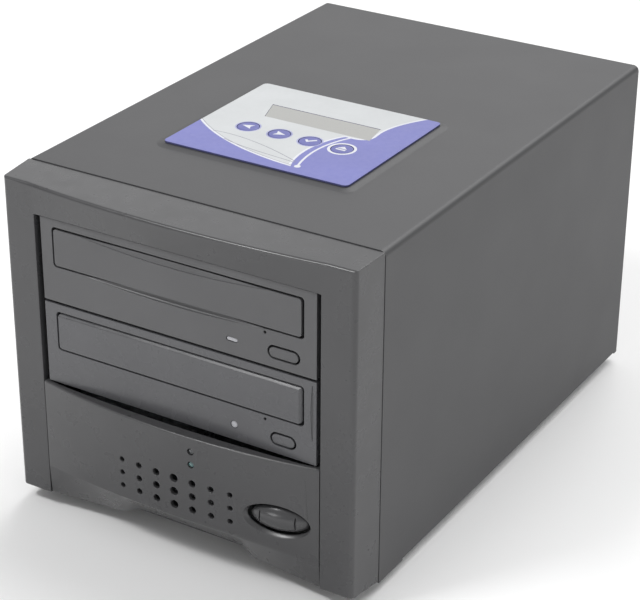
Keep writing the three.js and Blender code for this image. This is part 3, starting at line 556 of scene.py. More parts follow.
def add_camera():
    back = direction(CAMERA_AZIMUTH, CAMERA_ELEVATION)
    right = Vector((0, 0, 1)).cross(back).normalized()
    up = back.cross(right)
    turn = Matrix.Rotation(math.radians(CAMERA_ROLL), 3, back)
    data = bpy.data.cameras.new("camera")
    data.lens = CAMERA_LENS
    made = bpy.data.objects.new("camera", data)
    columns = [turn @ right, turn @ up, back]
    made.matrix_world = Matrix.Translation(place(*CAMERA_AT)) @ Matrix(columns).transposed().to_4x4()
    SCENE.collection.objects.link(made)
    SCENE.camera = made


def add_floor():
    mesh = bpy.data.meshes.new("floor")
    corners = rect(-FLOOR_REACH, FLOOR_REACH, -FLOOR_REACH, FLOOR_REACH)
    mesh.from_pydata([(x, y, 0) for x, y in corners], [], [(0, 1, 2, 3)])
    made = bpy.data.objects.new("floor", mesh)
    SCENE.collection.objects.link(made)
    finish = Finish("floor_paper", (0.9, 0.9, 0.9), 0.9)
    finish.tint(finish.noise(400, 2), 0.995, 1.005)
    mesh.materials.append(finish.made)


def add_lamp(name, kind, energy, towards):
    data = bpy.data.lights.new(name, kind)
    data.energy = energy
    made = bpy.data.objects.new(name, data)
    made.rotation_mode = "QUATERNION"
    made.rotation_quaternion = towards.to_track_quat("Z", "Y")
    SCENE.collection.objects.link(made)
    return made


def add_light(name, azimuth, elevation, distance, size, power):
    """A rectangular soft light that faces the tower's middle; lengths in metres, power in watts."""
    towards = direction(azimuth, elevation)
    made = add_lamp(name, "AREA", power, towards)
    made.location = LIGHT_AIM + towards * distance
    made.data.shape = "RECTANGLE"
    made.data.size, made.data.size_y = size


def add_sun(azimuth, elevation, strength, angle):
    """An even, very soft light over the whole floor."""
    made = add_lamp("sky_panel", "SUN", strength, direction(azimuth, elevation))
    made.data.angle = math.radians(angle)


def add_light_and_room():
    world = bpy.data.worlds.new("studio")
    SCENE.world = world
    world.use_nodes = True
    background = world.node_tree.nodes["Background"]
    background.inputs["Color"].default_value = (1, 1, 1, 1)
    background.inputs["Strength"].default_value = WORLD_STRENGTH
    add_sun(168, 54, 2.2, 48)
    add_light("back_left", 211.35, 28, 1.8, (1.3, 0.9), 3.2)
    add_light("right", 72, 12, 1.1, (0.6, 0.6), 1.6)
    add_light("key", -34, 52, 1.5, (0.42, 0.22), 9.5)
    add_light("front_strip", -14, 12, 1.3, (0.32, 0.2), 1.2)
    SCENE.view_settings.view_transform = "Standard"


# ---- case ----
def cover_outline(inset):
    half, top, r = CASE_HALF - inset, CASE_TOP - inset, CASE_BEND - inset
    low = -CLEAR if inset else 0
    right = arc(half - r, top - r, r, 0, 90, 10)
    left = arc(-half + r, top - r, r, 90, 180, 10)
    return [(-half, low), (half, low)] + right + left


def plateau(name, inset):
    """The embossed field that carries the label, or the hollow that lies an inset below it."""
    steps = 8
    levels = [(plateau_outline(PLATEAU_SLOPE), CASE_TOP - inset - 2 * SHEET)]
    for i in range(steps + 1):
        t = i / steps
        rise = PLATEAU_H * (0.7 * t + 0.3 * smooth(t))
        levels.append((plateau_outline(PLATEAU_SLOPE * (1 - t)), CASE_TOP - inset + rise))
    return stack(name, "z", levels)


def plateau_outline(grow):
    margin = PLATEAU_MARGIN + grow
    x0, x1 = LABEL_X[0] - margin, LABEL_X[1] + margin
    y0, y1 = LABEL_Y[0] - margin, LABEL_Y[1] + margin
    return rounded_rect(x0, x1, y0, y1, LABEL_R + margin, 10)


def screw_places():
    return [tower_box(f"cover_screw_{i}") for i in (1, 2, 3, 4)]


def screw_holes(y0, y1):
    """Cutters for the cover's screws."""
    hole = [(SCREW_HOLE_R, y0), (SCREW_HOLE_R, y1)]
    middles = [(low + high) / 2 for low, high in screw_places()]
    return [turned("screw_hole", "y", (middle.x, middle.z), hole, 20) for middle in middles]


def top_openings():
    """The display's window and the keys' holes."""
    low, high, r = CASE_TOP - 2 * CLEAR, CASE_TOP + CLEAR, KEY_R + KEY_CLEARANCE
    keys = [turned("key_hole", "z", (x, KEY_Y), [(r, low), (r, high)], 32) for x in KEYS.values()]
    return [block("lcd", *LCD_X, *LCD_Y, low, high)] + keys


def side_openings():
    """The notches along the lower edges and the holes for the cover's screws."""
    made = []
    for x in (-CASE_HALF, CASE_HALF):
        made.append(block("hem", x - HEM_REACH, x + HEM_REACH, HEM_FRONT, HEM_REAR, -1, SHEET))
    return made + screw_holes(HEM_REAR, CASE_DEPTH + 1)


def make_cover():
    """The folded cover: open below and in front, with a lip round its rear opening."""
    made = prism("case_skin", "y", cover_outline(0), 0, CASE_DEPTH)
    inner = prism("inner", "y", cover_outline(SHEET), -CLEAR, CASE_DEPTH - SHEET)
    half, top = CASE_HALF - COVER_LIP, CASE_TOP - COVER_LIP
    behind = block("behind", -half, half, CASE_DEPTH - CLEAR, CASE_DEPTH + CLEAR, -CLEAR, top)
    weld(made, plateau("plateau", 0))
    carve(made, inner, behind, plateau("plateau_hollow", SHEET))
    carve(made, merged("openings", top_openings()), merged("hems", side_openings()))
    dress(made, MATERIALS["powder"], "root", ["case_cover"], "powder_coat", 0.22, 2, 50)


# ---- front bezel ----
def bezel_plan():
    """The bezel from above; between its corners it reaches well in front of the brow."""
    front, r = BEZEL_FRONT_HALF, BEZEL_CORNER
    corner_y, clear = -BEZEL_DEPTH + r, -BEZEL_DEPTH - 2 * BROW_BOW
    left = arc(-front + r, corner_y, r, 180, 270, 10) + [(-front + r, clear)]
    right = [(front - r, clear)] + arc(front - r, corner_y, r, 270, 360, 10)
    return [(BEZEL_HALF, 0), (-BEZEL_HALF, 0)] + left + right


def bezel_section(x):
    """Lengthwise section of the bezel; above the drives its front swells into the brow."""
    front = -BEZEL_DEPTH - BROW_BOW * crown(x, BROW_HALF)
    r, top = BROW_ROUND, BEZEL_FRONT_TOP
    edge = arc(front + r, top - r, r, 180, 90, 7)
    below = [(0, BEZEL_FOOT), (-BEZEL_DEPTH, BEZEL_FRONT_FOOT), (-BEZEL_DEPTH, OPENING_TOP)]
    return below + edge + [(0, BEZEL_TOP)]


def make_bezel():
    """A frame, open in front of the drives and below, and hollow behind its posts and its brow."""
    side = BEZEL_HALF + CLEAR
    stations = [-side] + spread(-BROW_HALF, BROW_HALF, 64) + [side]
    made = skin("bezel_shell", [[(x, y, z) for y, z in bezel_section(x)] for x in stations])
    keep_inside(made, prism("plan", "z", bezel_plan(), -2, CASE_TOP + 2))
    far = 60
    mouth = block("mouth", -OPENING_HALF, OPENING_HALF, -far, far, MOUTH_FOOT, OPENING_TOP)
    chin = block("chin", -OPENING_HALF, OPENING_HALF, -far, PANEL_BACK + 0.3, -far, MOUTH_FOOT + 1)
    wall, inner = OPENING_HALF + BEZEL_WALL, BEZEL_FRONT_HALF - BEZEL_WALL
    front, ceiling = -BEZEL_DEPTH + BEZEL_WALL, BEZEL_FRONT_TOP - BEZEL_WALL
    wells = [
        block("well", wall, inner, front, far, WELL_FOOT, ceiling),
        block("well", -inner, -wall, front, far, WELL_FOOT, ceiling),
        block("well", CLEAR - wall, wall - CLEAR, front, far, OPENING_TOP + BEZEL_WALL, ceiling),
    ]
    carve(made, mouth, chin, merged("wells", wells))
    dress(made, MATERIALS["bezel"], "root", ["front_bezel"], "bezel_plastic", 0.3, 3, 40)


# ---- lower panel ----
def panel_front(x):
    return -BEZEL_DEPTH - PANEL_BULGE * crown(x, PANEL_CURVE_HALF)


def panel_foot(x):
    return -BEZEL_DEPTH + PANEL_FOOT_SETBACK + UNDERCUT * crown(x, PANEL_CURVE_HALF)


def arch_lift(x):
    left = smooth((x - ARCH_LEFT) / ARCH_LEFT_RAMP)
    right = smooth((ARCH_RIGHT - x) / ARCH_RIGHT_RAMP)
    return ARCH_LIFT * min(left, right)


def panel_low(x):
    return PANEL_FOOT + arch_lift(x)


def chin_height(x):
    return CHIN_END + CHIN_RISE * crown(x, PANEL_HALF)


def ledge_back(x):
    return LEDGE_Y - LEDGE_BOW * crown(x, PANEL_HALF - 4)


def panel_section(x):
    """Lengthwise section of the panel; its chin's crease softens to the right."""
    front, foot, low, chin = panel_front(x), panel_foot(x), panel_low(x), chin_height(x)
    soft = 0.3 + 3.5 * smooth((x - 5) / PANEL_HALF)
    share = soft / (chin - low)
    below = (front + (foot - front) * share, chin - soft)
    middle = ((front * 3 + below[0]) / 4, chin - soft * 0.2)
    r = PANEL_ROUND
    edge = arc(front + r, PANEL_TOP - r, r, 90, 180, 6)
    behind = [(foot, low), (PANEL_BACK, low), (PANEL_BACK, PANEL_TOP)]
    return behind + edge + [(front, chin + soft), middle, below]


def panel_hollow(x):
    """What is open behind the panel's walls: the rear, and a gap up along the drive's face."""
    front, foot, low = (at(x) + PANEL_WALL for at in (panel_front, panel_foot, panel_low))
    ledge = max(front + 0.05, ledge_back(x))
    high, ceiling = PANEL_TOP + 3, PANEL_TOP - PANEL_WALL
    below = [(foot, low), (CLEAR, low), (CLEAR, high)]
    return below + [(ledge, high), (ledge, ceiling), (front, ceiling), (front, chin_height(x) + 1)]


def panel_holes():
    """The vent holes, which flare at the surface, and the holes for the two lights."""
    near, far = -40, -15
    holes = []
    for i, r in enumerate(VENT_RADII):
        for row in (-1, 0, 1):
            x, z = VENT_X + (i - 3) * VENT_PITCH_X, VENT_Z + row * VENT_PITCH_Z
            surface = panel_front(x)
            flare = [(r + 0.3, near), (r + 0.3, surface - 0.1), (r, surface + 0.3), (r, far)]
            holes.append(turned("vent", "y", (x, z), flare, 24))
    r = LED_R + 0.2
    for z in LED_ZS.values():
        holes.append(turned("led_hole", "y", (LED_X, z), [(r, near), (r, far)], 32))
    return holes


def make_panel():
    rings = [[(x, y, z) for y, z in panel_section(x)] for x in spread(-PANEL_HALF, PANEL_HALF, 88)]
    made = skin("lower_panel_shell", rings)
    half = PANEL_HALF - PANEL_WALL
    hollow_rings = [[(x, y, z) for y, z in panel_hollow(x)] for x in spread(-half, half, 40)]
    carve(made, skin("hollow", hollow_rings), merged("holes", panel_holes()), power_opening())
    dress(made, MATERIALS["bezel"], "root", ["lower_panel"], "bezel_plastic", 0.2, 2, 45)


def power_opening():
    """The oval opening, with a dished rim that is widest at its lower left."""
    near, far = -12, 20
    dish = [(-0.6, 1.5), (0.3, 0.9), (1.4, 0.1), (2.6, 0.0)]
    rings = []
    for depth, grow in [(near, 1.5)] + dish + [(far, 0.0)]:
        shift = -0.35 * grow
        semi_x, semi_z = (semi + grow for semi in POWER_SEMI)
        outline = ellipse(POWER_X + shift, POWER_Z + shift, semi_x, semi_z, 72)
        flat = depth in (near, far)
        rings.append([(x, depth - BEZEL_DEPTH if flat else depth + panel_front(x), z) for x, z in outline])
    return skin("power_opening", rings)


def button_face(x, z):
    """How far forward the domed button reaches at a point."""
    dx, dz = x - POWER_X, z - POWER_Z
    lean = 2 * PANEL_BULGE * POWER_X / PANEL_CURVE_HALF**2
    across, depth, up = POWER_DOME
    dome = depth * (1 - math.sqrt(max(0, 1 - (dx / across) ** 2 - (dz / up) ** 2)))
    return panel_front(POWER_X) - POWER_PROUD + dome + lean * dx


def button_outline(scale):
    semi_x, semi_z = ((semi - POWER_RIM) * scale for semi in POWER_SEMI)
    return ellipse(POWER_X, POWER_Z, semi_x, semi_z, 72)


def make_power_button():
    """A domed oval cap with a rounded edge and two grooves, on a wider skirt behind the panel."""
    edge = [(1, 0.9), (0.985, 0.3), (0.96, 0.06)]
    dome = [(scale, 0) for scale in (0.92, 0.86, 0.78, 0.68, 0.56, 0.42, 0.28, 0.14, 0.02)]
    rings = [[(x, POWER_REAR, z) for x, z in button_outline(1)]]
    for scale, sink in edge + dome:
        rings.append([(x, button_face(x, z) + sink, z) for x, z in button_outline(scale)])
    made = skin("power_button_cap", rings)
    semi_x, semi_z = (semi + 2 for semi in POWER_SEMI)
    skirt_outline = ellipse(POWER_X, POWER_Z, semi_x, semi_z)
    weld(made, prism("skirt", "y", skirt_outline, POWER_REAR - 3, POWER_REAR - 0.1))
    grooves = []
    for x in (POWER_X - POWER_GROOVE_X, POWER_X + POWER_GROOVE_X):
        floor = button_face(x, POWER_Z) + 1.1
        grooves.append(block("groove", x - 0.3, x + 0.3, -40, floor, POWER_Z - 10, POWER_Z + 10))
    carve(made, merged("grooves", grooves))
    dress(made, MATERIALS["button"], "power", ["power_button"], "bezel_plastic", 0.15, 2, 50)


def make_panel_leds():
    """The two lenses: a low dome in front and a flange behind the panel's wall."""
    r, front = LED_R, panel_front(LED_X)
    surface, behind = front + 0.4, front + PANEL_WALL + 1.2
    dome = [(0.02, surface), (r * 0.6, surface + 0.08), (r * 0.92, surface + 0.35), (r, surface + 0.7)]
    for name, z in LED_ZS.items():
        end = tower_box(name)[1].y
        flange = [(r, behind), (r + 1, behind), (r + 1, end)]
        made = turned(f"{name}_lens", "y", (LED_X, z), dome + flange, 32)
        finish = "teal_lens" if name == "power_led" else "clear_lens"
        dress(made, MATERIALS[finish], "root", [name], finish, 0)


# ---- drive fronts ----
class DriveFront:
    """Makes the visible front of one drive; its lengths start from the drive's own bottom centre and face."""

    def __init__(self, name, look):
        self.name = name
        self.look = look
        low = tower_box(f"{name}_bezel")[0]
        self.face, self.base = low.y, low.z
        self.finish = MATERIALS[name]
        self.slot = f"{name}_plastic"
        self.number = name[-1]

    def across(self, name, outline, y0, y1):
        """A prism that runs backwards, from an outline in the drive's x and z."""
        return prism(name, "y", [(x, self.base + z) for x, z in outline], self.face + y0, self.face + y1)

    def along(self, name, outline, x0, x1):
        """A prism that runs across, from an outline in the drive's y and z."""
        return prism(name, "x", [(self.face + y, self.base + z) for y, z in outline], x0, x1)

    def crescent(self, name, middle, depth, section):
        """A cutter that is depth deep at its middle and fades out to both sides."""
        half = 50
        rings = []
        for x in spread(middle - half + 0.5, middle + half - 0.5, 48):
            outline = section(max(0.03, depth * crown(x - middle, half)))
            rings.append([(x, self.face + y, self.base + z) for y, z in outline])
        return skin(name, rings)

    def layered(self, name, look, layers):
        """A body through widened copies of a slot's outline; layers lists (widening, depth)."""
        x, z, half, r = look
        levels = []
        for grow, y in layers:
            outline = [(a, self.base + b) for a, b in stadium(x, z, half + grow, r + grow)]
            levels.append((outline, self.face + y))
        return stack(name, "y", levels)

    def doorway(self, margin, y0, y1):
        half, low = DOOR_HALF + margin, DOOR_LOW - margin
        high, r = DOOR_LOW + DOOR_HEIGHT + margin, DOOR_CORNER + margin * 0.6
        return self.across("doorway", rounded_rect(-half, half, low, high, r), y0, y1)

    def make_bezel(self):
        face = rect(-DRIVE_HALF, DRIVE_HALF, 0, DRIVE_HEIGHT)
        made = self.across(f"{self.name}_face", face, 0, DRIVE_BEZEL_T)
        half, margin = DRIVE_HALF - 3, 2.5
        hollow = rect(-half, half, margin, DRIVE_HEIGHT - margin)
        carve(made, self.across("behind", hollow, 2.4, DRIVE_BEZEL_T + 1))
        weld(made, self.doorway(2, 2, DRIVE_BEZEL_T - 0.01))
        carve(made, self.openings())
        carve(made, self.finger_scoop() if self.name == "drive1" else self.side_groove())
        dress(made, self.finish, "root", [f"{self.name}_bezel"], self.slot, 0.22, 2, 40)

    def openings(self):
        """The doorway and the holes of the eject button, the light and the pin, as one cutter."""
        near, far = -1, 9
        eject_x, eject_z, eject_half, eject_r = self.look["eject"]
        led_x, led_z, led_half, led_r = self.look["led"]
        outlines = {
            "eject_hole": stadium(eject_x + 0.3, eject_z + 0.3, eject_half + 0.7, eject_r + 0.7),
            "led_hole": stadium(led_x, led_z, led_half + 0.15, led_r + 0.15),
            "pin_hole": ellipse(*self.look["pin"], 0.7, 0.7, 20),
        }
        holes = [self.across(name, outline, near, far) for name, outline in outlines.items()]
        return merged("holes", [self.doorway(DOOR_GAP, near, far)] + holes)

    def finger_scoop(self):
        """A shallow crescent under the door, to pull the door by."""
        top = DOOR_LOW - DOOR_GAP
        cove = [(0, 1), (0.3, 0.95), (0.6, 0.75), (0.78, 0.4)]

        def section(d):
            curve = [(backwards * d, top - down * d) for backwards, down in cove]
            return [(-1, top - d)] + curve + [(0.85 * d, top + 0.2), (0.85 * d, top + 0.6), (-1, top + 0.6)]

        return self.crescent("scoop", -2, 2.4, section)

    def side_groove(self):
        """A thin upright crescent groove beside the door."""
        x, low, high = 71.9, 12, 40
        middle, half = (low + high) / 2, (high - low) / 2
        rings = []
        for z in spread(low + 0.4, high - 0.4, 24):
            w = max(0.05, 0.75 * crown(z - middle, half))
            left, right = x - w, x + w * 0.4
            outline = [(left, -1), (right, -1), (right, 0.05), (x, 0.9 * w), (left, 0.05)]
            rings.append([(across, self.face + y, self.base + z) for across, y in outline])
        return skin("side_groove", rings)

    def make_door(self):
        """The tray's door, with two hooks that reach back to the tray."""
        outline = rounded_rect(-DOOR_HALF + 0.4, DOOR_RIGHT, DOOR_LOW + 0.35, DOOR_TOP, DOOR_CORNER)
        made = self.across(f"{self.name}_door", outline, 0, DOOR_T)
        for x in (-DOOR_HOOK_X, DOOR_HOOK_X):
            hook = rect(x - 5, x + 5, DOOR_HOOK_LOW, DOOR_HOOK_LOW + 2.6)
            weld(made, self.across("hook", hook, DOOR_T - 0.2, DOOR_T + 5))
        if self.name == "drive1":
            carve(made, self.door_crescent())
        else:
            carve(made, *self.door_chamfers())
        dress(made, self.finish, f"tray{self.number}", [f"{self.name}_tray_door"], self.slot, 0.2, 2, 30)

    def door_crescent(self):
        """A shallow crescent facet along the door's top edge."""

        def section(d):
            low, high = DOOR_TOP - d, DOOR_TOP + 0.5
            return [(-1, low), (0.16 * d, low), (0.3 * d, high), (-1, high)]

        return self.crescent("crescent", -1.5, 3, section)

    def door_chamfers(self):
        """Wide bevels along the second door's top and right edges."""
        size, front = 1.4, self.face - 1
        above = [(-1, DOOR_TOP - size - 1), (size + 1, DOOR_TOP + 1), (-1, DOOR_TOP + 1)]
        over = self.along("over", above, -DOOR_HALF - CLEAR, DOOR_HALF + CLEAR)
        beyond = DOOR_RIGHT + 1
        corner = [(DOOR_RIGHT - size - 1, front), (beyond, front), (beyond, self.face + size + 1)]
        low, high = self.base + DOOR_LOW - CLEAR, self.base + DOOR_TOP + CLEAR
        return over, prism("beside", "z", corner, low, high)

    def make_eject(self):
        """The eject button: a cap with a soft edge, on a wing that stays behind the bezel."""
        x, z, half, _ = self.look["eject"]
        layers = [(-1.3, 0.2), (-0.6, 0.26), (-0.25, 0.45), (-0.15, 0.8), (-0.15, 7)]
        made = self.layered(f"{self.name}_eject_cap", self.look["eject"], layers)
        reach = half + 1.2
        wing = rect(x - reach, x + reach, z - 2, z + 2)
        weld(made, self.across("wing", wing, DRIVE_BEZEL_T + 1.6, DRIVE_BEZEL_T + 2.6))
        dress(made, self.finish, f"eject{self.number}", [f"{self.name}_eject_button"], self.slot, 0)

    def make_led(self):
        r = self.look["led"][3]
        lens = [(-r * 0.6, 0.2), (-0.15, 0.25), (0, 0.45), (0, 5.4)]
        flange = [(1.2, 5.4), (1.2, 8)]
        made = self.layered(f"{self.name}_light", self.look["led"], lens + flange)
        dress(made, MATERIALS["white_lens"], "root", [f"{self.name}_led"], "white_lens", 0)

    def make(self):
        self.make_bezel()
        self.make_door()
        self.make_eject()
        self.make_led()


# ---- control panel on top ----
WHITE_EDGE = 1.2
WINDOW = [(-28, 97.1), (30.6, 97.1), (28, 112.3), (-33, 112.3)]
STRIPE_W = 1.1


def label_curves():
    """The printed field's boundary: along the front, up beside the keys, and round the display's end."""
    front = bezier((-56.2, 81), (-40.2, 65), (-14.2, 54), (15.3, 51.8), 24)
    beside = bezier((15.3, 51.8), (10, 63), (10, 83), (18.6, 95.2), 20)
    over = bezier((18.6, 95.2), (23.8, 94.6), (32.3, 94.6), (30.8, 105), 10)
    past = bezier((30.8, 105), (29.8, 115), (34.8, 127), (43.3, 138), 12)
    return front, beside, over, past


def offset(points, distance):
    """The same line moved sideways, to the left of its direction."""
    moved = []
    for i, (x, y) in enumerate(points):
        before, after = points[max(0, i - 1)], points[min(len(points) - 1, i + 1)]
        dx, dy = after[0] - before[0], after[1] - before[1]
        length = math.hypot(dx, dy)
        moved.append((x - dy / length * distance, y + dx / length * distance))
    return moved


def band(points, low, high):
    """A closed band between two offsets of a line."""
    return offset(points, low) + offset(points, high)[::-1]


def inside(point, outline):
    x, y = point
    odd = False
    for (x0, y0), (x1, y1) in zip(outline, outline[1:] + outline[:1]):
        if (y0 > y) != (y1 > y) and x < x0 + (y - y0) / (y1 - y0) * (x1 - x0):
            odd = not odd
    return odd


def label_regions():
    """The print, from the bottom layer up: (outline, finish)."""
    front, beside, over, past = label_curves()
    boundary = front + beside[1:] + over[1:] + past[1:]
    field = boundary + [(61.8, 138), (61.8, 37), (-58.2, 37), (-58.2, 81)]
    stripe = bezier((18, 53.4), (14.2, 66), (13.4, 81), (21.4, 95.4), 20)
    leaf_one = bezier((-39, 69), (-25.2, 71.5), (-4.2, 66), (14.6, 57.5), 20)
    leaf_two = bezier((-29.2, 63.5), (-17.2, 58.8), (-2.2, 58.5), (14.8, 56.5), 20)
    regions = [(field, "violet_film"), (band(boundary, 0, WHITE_EDGE), "icon_film")]
    regions.append((band(front, WHITE_EDGE, WHITE_EDGE + 0.3), "grey_film"))
    regions.append((band(stripe, -STRIPE_W / 2, STRIPE_W / 2), "icon_film"))
    regions.append((ellipse(*stripe[0], STRIPE_W * 1.4, STRIPE_W * 1.4, 24), "icon_film"))
    regions += [(band(leaf, -0.2, 0.2), "grey_film") for leaf in (leaf_one, leaf_two)]
    for name, x in KEYS.items():
        outer = KEY_R + (1.6 if name == "back" else 1.0)
        regions.append((ellipse(x, KEY_Y, outer, outer, 48), "icon_film" if name == "back" else "pale_film"))
    return regions


def flat_regions(outline, holes, regions):
    """Triangles of a flat outline, split along the edges of its holes and regions.

    Returns the points and, for each triangle inside the outline, its corners and its region's number,
    0 where it lies in none.
    """
    loops = [outline] + holes + [line for line, _ in regions]
    points = [Vector(p) for loop in loops for p in loop]
    edges, start = [], 0
    for loop in loops:
        edges += [(start + i, start + (i + 1) % len(loop)) for i in range(len(loop))]
        start += len(loop)
    corners, _, faces, *_ = delaunay_2d_cdt(points, edges, [], 0, 1e-5)
    kept = []
    for face in faces:
        middle = sum((corners[i] for i in face), Vector((0, 0))) / len(face)
        if not inside(middle, outline) or any(inside(middle, hole) for hole in holes):
            continue
        found = [i for i, (line, _) in enumerate(regions) if inside(middle, line)]
        kept.append((face, found[-1] + 1 if found else 0))
    return corners, kept


def make_label():
    """The printed film: flat print on top, cut edges in a darker violet that is painted shade along the
    film's edge, and holes for the keys and the display.
    """
    low, high = (corner.z for corner in tower_box("control_label"))
    outline = rounded_rect(*LABEL_X, *LABEL_Y, LABEL_R, 10)
    holes = [ellipse(x, KEY_Y, KEY_R + 0.25, KEY_R + 0.25, 48) for x in KEYS.values()]
    holes.append(WINDOW)
    regions = label_regions()
    corners, faces = flat_regions(outline, holes, regions)
    top = [(p.x, p.y, high) for p in corners]
    bottom = [(p.x, p.y, low) for p in corners]
    count = len(corners)
    mesh_faces = [tuple(f) for f, _ in faces] + [tuple(i + count for i in reversed(f)) for f, _ in faces]
    sides = open_edges([f for f, _ in faces])
    mesh_faces += [(a, a + count, b + count, b) for a, b in sides]
    made = solid("control_film", top + bottom, mesh_faces)
    names = ["white_film"] + [finish for _, finish in regions]
    # the last material goes on the film's cut edges and paints the shade along them
    order = sorted(set(names)) + ["shaded_edge_film"]
    shade(made.data)
    for name in order:
        made.data.materials.append(MATERIALS[name])
    for i, face in enumerate(made.data.polygons):
        if i < len(faces):
            face.material_index = order.index(names[faces[i][1]])
        else:
            face.material_index = len(order) - 1
    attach(made, "root")
    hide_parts("control_label")
    drop_loose(made)


def open_edges(faces):
    """The edges that only one of the faces has, each in that face's direction."""
    seen = {}
    for face in faces:
        for a, b in zip(face, list(face[1:]) + [face[0]]):
            seen[(a, b)] = True
    return [(a, b) for a, b in seen if (b, a) not in seen]


def drop_loose(made):
    """Removes points that no face uses."""
    mesh = bmesh.new()
    mesh.from_mesh(made.data)
    loose = [v for v in mesh.verts if not v.link_faces]
    bmesh.ops.delete(mesh, geom=loose, context="VERTS")
    mesh.to_mesh(made.data)
    mesh.free()


def make_screen():
    """The display's glass, in the film's window."""
    low, high = (corner.z for corner in tower_box("control_label"))
    middle = 104.7
    outline = [(x * 0.997, middle + (y - middle) * 0.985) for x, y in WINDOW]
    made = prism("display_window", "z", outline, low, high - 0.12)
    dress(made, MATERIALS["screen"], "root", [], "clear_lens", 0.06)


def icon_outlines(name, x):
    """Plain signs for the keys: an arrowhead each way, a tick, and a roof over a bar."""
    y = KEY_Y
    if name in ("previous", "next"):
        s = 1 if name == "next" else -1
        return [[(x + s * 3.3, y), (x - s * 2.3, y + 2.4), (x - s * 1.3, y), (x - s * 2.3, y - 2.4)]]
    if name == "confirm":
        over = [(x - 2.8, y + 0.2), (x - 2.0, y + 1.0), (x - 0.9, y - 0.2), (x + 2.2, y + 2.6)]
        return [over + [(x + 3.0, y + 1.8), (x - 0.9, y - 1.9)]]
    bar = rect(x - 2.6, x + 2.6, y - 2.0, y - 0.8)
    roof = [(x - 2.6, y - 0.1), (x + 2.6, y - 0.1), (x, y + 2.5)]
    return [bar, roof]


def make_keys():
    r, stem, shoulder = KEY_R, 2.2, CASE_TOP - 1.6
    for name, x in KEYS.items():
        node = f"key_{name}"
        low, high = (corner.z for corner in tower_box(node))
        top = high - 0.04
        below = [(stem, low), (stem, shoulder), (r, shoulder)]
        edge = [(r, top - 0.45), (r - 0.12, top - 0.22), (r - 0.4, top - 0.09), (r - 1.2, top - 0.03)]
        face = [(r * 0.5, top - 0.01), (0.02, top)]
        made = turned(f"{node}_cap", "z", (x, KEY_Y), below + edge + face)
        dress(made, MATERIALS["key_film"], node, [node], "key_film", 0)
        sign, *others = [prism("sign", "z", outline, top - 0.3, high) for outline in icon_outlines(name, x)]
        if others:
            weld(sign, *others)
        sign.name = f"{node}_sign"
        dress(sign, MATERIALS["icon_film"], node, [], "label_film", 0)


# ---- rear and below ----
FAN_X, FAN_Z, FAN_BORE = -35, 112, 38
PSU_FLOOR, PSU_HEIGHT, PSU_HALF, PSU_X = 3.2, 40.5, 40.75, 30
LOUVRE_X, LOUVRE_Z, LOUVRE_PITCH, LOUVRE_HALF, LOUVRE_R = 49, 101.5, 7, 23, 1.5


def ring_openings(x, z, radius, rings, y0, y1):
    """Rings of air between a finger guard's wires, with a cross of bars left over them."""
    wire, half_bar, hub = 1.6, 1.2, radius * 0.3
    pitch = (radius - hub) / rings
    openings = []
    for i in range(rings):
        outer, inner = hub + pitch * (i + 1) - wire / 2, hub + pitch * i + wire / 2
        outer_edge, inner_edge = (math.degrees(half_bar / r) for r in (outer, inner))
        for start in (45, 135, 225, 315):
            end = start + 90
            outside = arc(x, z, outer, start + outer_edge, end - outer_edge, 14)
            back = arc(x, z, inner, end - inner_edge, start + inner_edge, 14)
            openings.append(prism("opening", "y", outside + back, y0, y1))
    return openings


def make_rear_panel():
    low, high = tower_box("rear_panel")
    outline = rounded_rect(low.x, high.x, low.z, high.z, 2, 6)
    made = prism("rear_panel_sheet", "y", outline, low.y, high.y)
    y0, y1 = low.y - 1, high.y + 1
    openings = ring_openings(FAN_X, FAN_Z, FAN_BORE - 1, 3, y0, y1)
    half, foot, top = PSU_HALF - 3, PSU_FLOOR + 2, PSU_FLOOR + PSU_HEIGHT - 2
    openings.append(block("psu", PSU_X - half, PSU_X + half, y0, y1, foot, top))
    for i in range(7):
        slot = stadium(LOUVRE_X, LOUVRE_Z + LOUVRE_PITCH * i, LOUVRE_HALF, LOUVRE_R, 8)
        openings.append(prism("louvre", "y", slot, y0, y1))
    carve(made, merged("openings", openings + screw_holes(y0, y1)))
    dress(made, MATERIALS["powder"], "root", ["rear_panel"], "powder_coat", 0.15, 2, 50)


def make_screws():
    for i, (low, high) in enumerate(screw_places(), 1):
        x, z = (low.x + high.x) / 2, (low.z + high.z) / 2
        face, tip = high.y, low.y
        seat = face - 2.2
        shank = [(0.3, tip), (1.5, tip + 0.6), (1.5, seat)]
        side = [(3.4, seat), (3.4, seat + 1), (3.25, seat + 1.3)]
        dome = [(2.6, seat + 1.9), (1.6, seat + 2.12), (0.02, face)]
        made = turned(f"cover_screw_{i}_head", "y", (x, z), shank + side + dome, 40)
        cross = []
        for half_x, half_z in ((1.7, 0.35), (0.35, 1.7)):
            cross.append(block("slot", x - half_x, x + half_x, face - 1.1, face + 1, z - half_z, z + half_z))
        carve(made, *cross)
        dress(made, MATERIALS["screw"], "root", [f"cover_screw_{i}"], "screw_steel", 0.08, 1, 50)


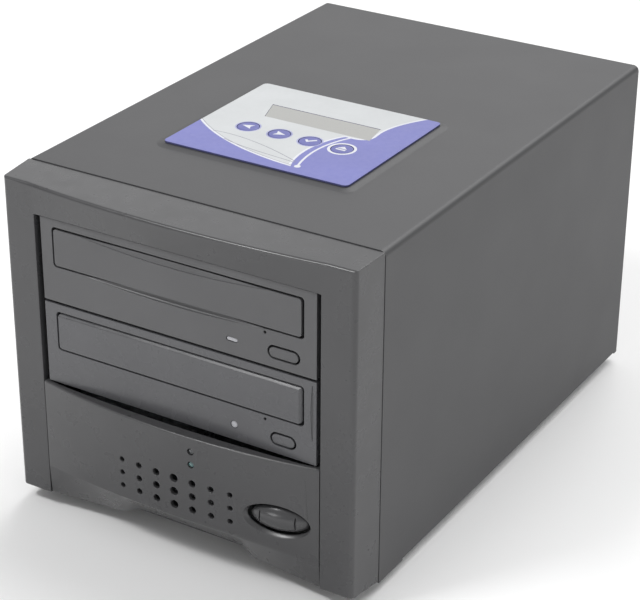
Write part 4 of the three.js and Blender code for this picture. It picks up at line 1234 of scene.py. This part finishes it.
def make_feet():
    """Rubber pads, dished below, with a stud that snaps into the base."""
    for corner in ("front_left", "front_right", "rear_left", "rear_right"):
        node = f"foot_{corner}"
        low, high = tower_box(node)
        x, y, r, floor = (low.x + high.x) / 2, (low.y + high.y) / 2, (high.x - low.x) / 2, low.z
        dish = [(r - 3.2, floor + 0.7), (r - 2.8, floor + 0.1), (r - 1.4, floor)]
        side = [(r - 0.5, floor + 0.25), (r, floor + 1.1), (r - 0.2, -1.2), (r - 0.8, 0.1)]
        stud = [(1.7, 0.1), (1.7, 1.6), (2.5, 1.8), (1.7, high.z)]
        made = turned(f"{node}_pad", "z", (x, y), dish + side + stud)
        dress(made, MATERIALS["rubber"], "root", [node], "foot_rubber", 0)


# ---- CAD pieces whose shape is right: better edges and materials ----
KEPT = {
    "zinc": ["base_pan", "drive_cage_left", "drive_cage_right", "psu_case"],
    "black": ["power_inlet", "psu_fan_rotor", "rear_fan_frame", "rear_fan_rotor"],
    "board": ["controller_board", "lcd_module"],
}
KEPT_IN_DRIVES = {
    "zinc": ["shell", "cover", "clamp_bridge", "traverse"],
    "black": ["loader_frame", "clamp_puck", "turntable"],
    "board": ["board"],
    "tray": ["tray"],
    "gear": ["load_gear"],
    "cast": ["laser_sled"],
}


def keep(name, finish):
    """Cleans the mesh of a CAD node, rounds its edges and gives it a material."""
    node = NODES[name]
    node.data.materials.clear()
    node.data.materials.append(MATERIALS[finish])
    weld_step = node.modifiers.new("weld", "WELD")
    weld_step.merge_threshold = 0.002 * MM
    flat = node.modifiers.new("flat", "DECIMATE")
    flat.decimate_type = "DISSOLVE"
    flat.angle_limit = math.radians(1)
    edge_round(node, 0.18, 2, 40)
    even_normals(node)


def keep_nodes():
    for finish, names in KEPT.items():
        for name in names:
            keep(name, finish)
    for finish, names in KEPT_IN_DRIVES.items():
        for name in names:
            for drive in DRIVES:
                keep(f"{drive}_{name}", finish)


make_cover()
make_bezel()
make_panel()
make_power_button()
make_panel_leds()
for drive_name, drive_look in DRIVES.items():
    DriveFront(drive_name, drive_look).make()
make_label()
make_screen()
make_keys()
make_rear_panel()
make_screws()
make_feet()
keep_nodes()
add_camera()
add_floor()
add_light_and_room()
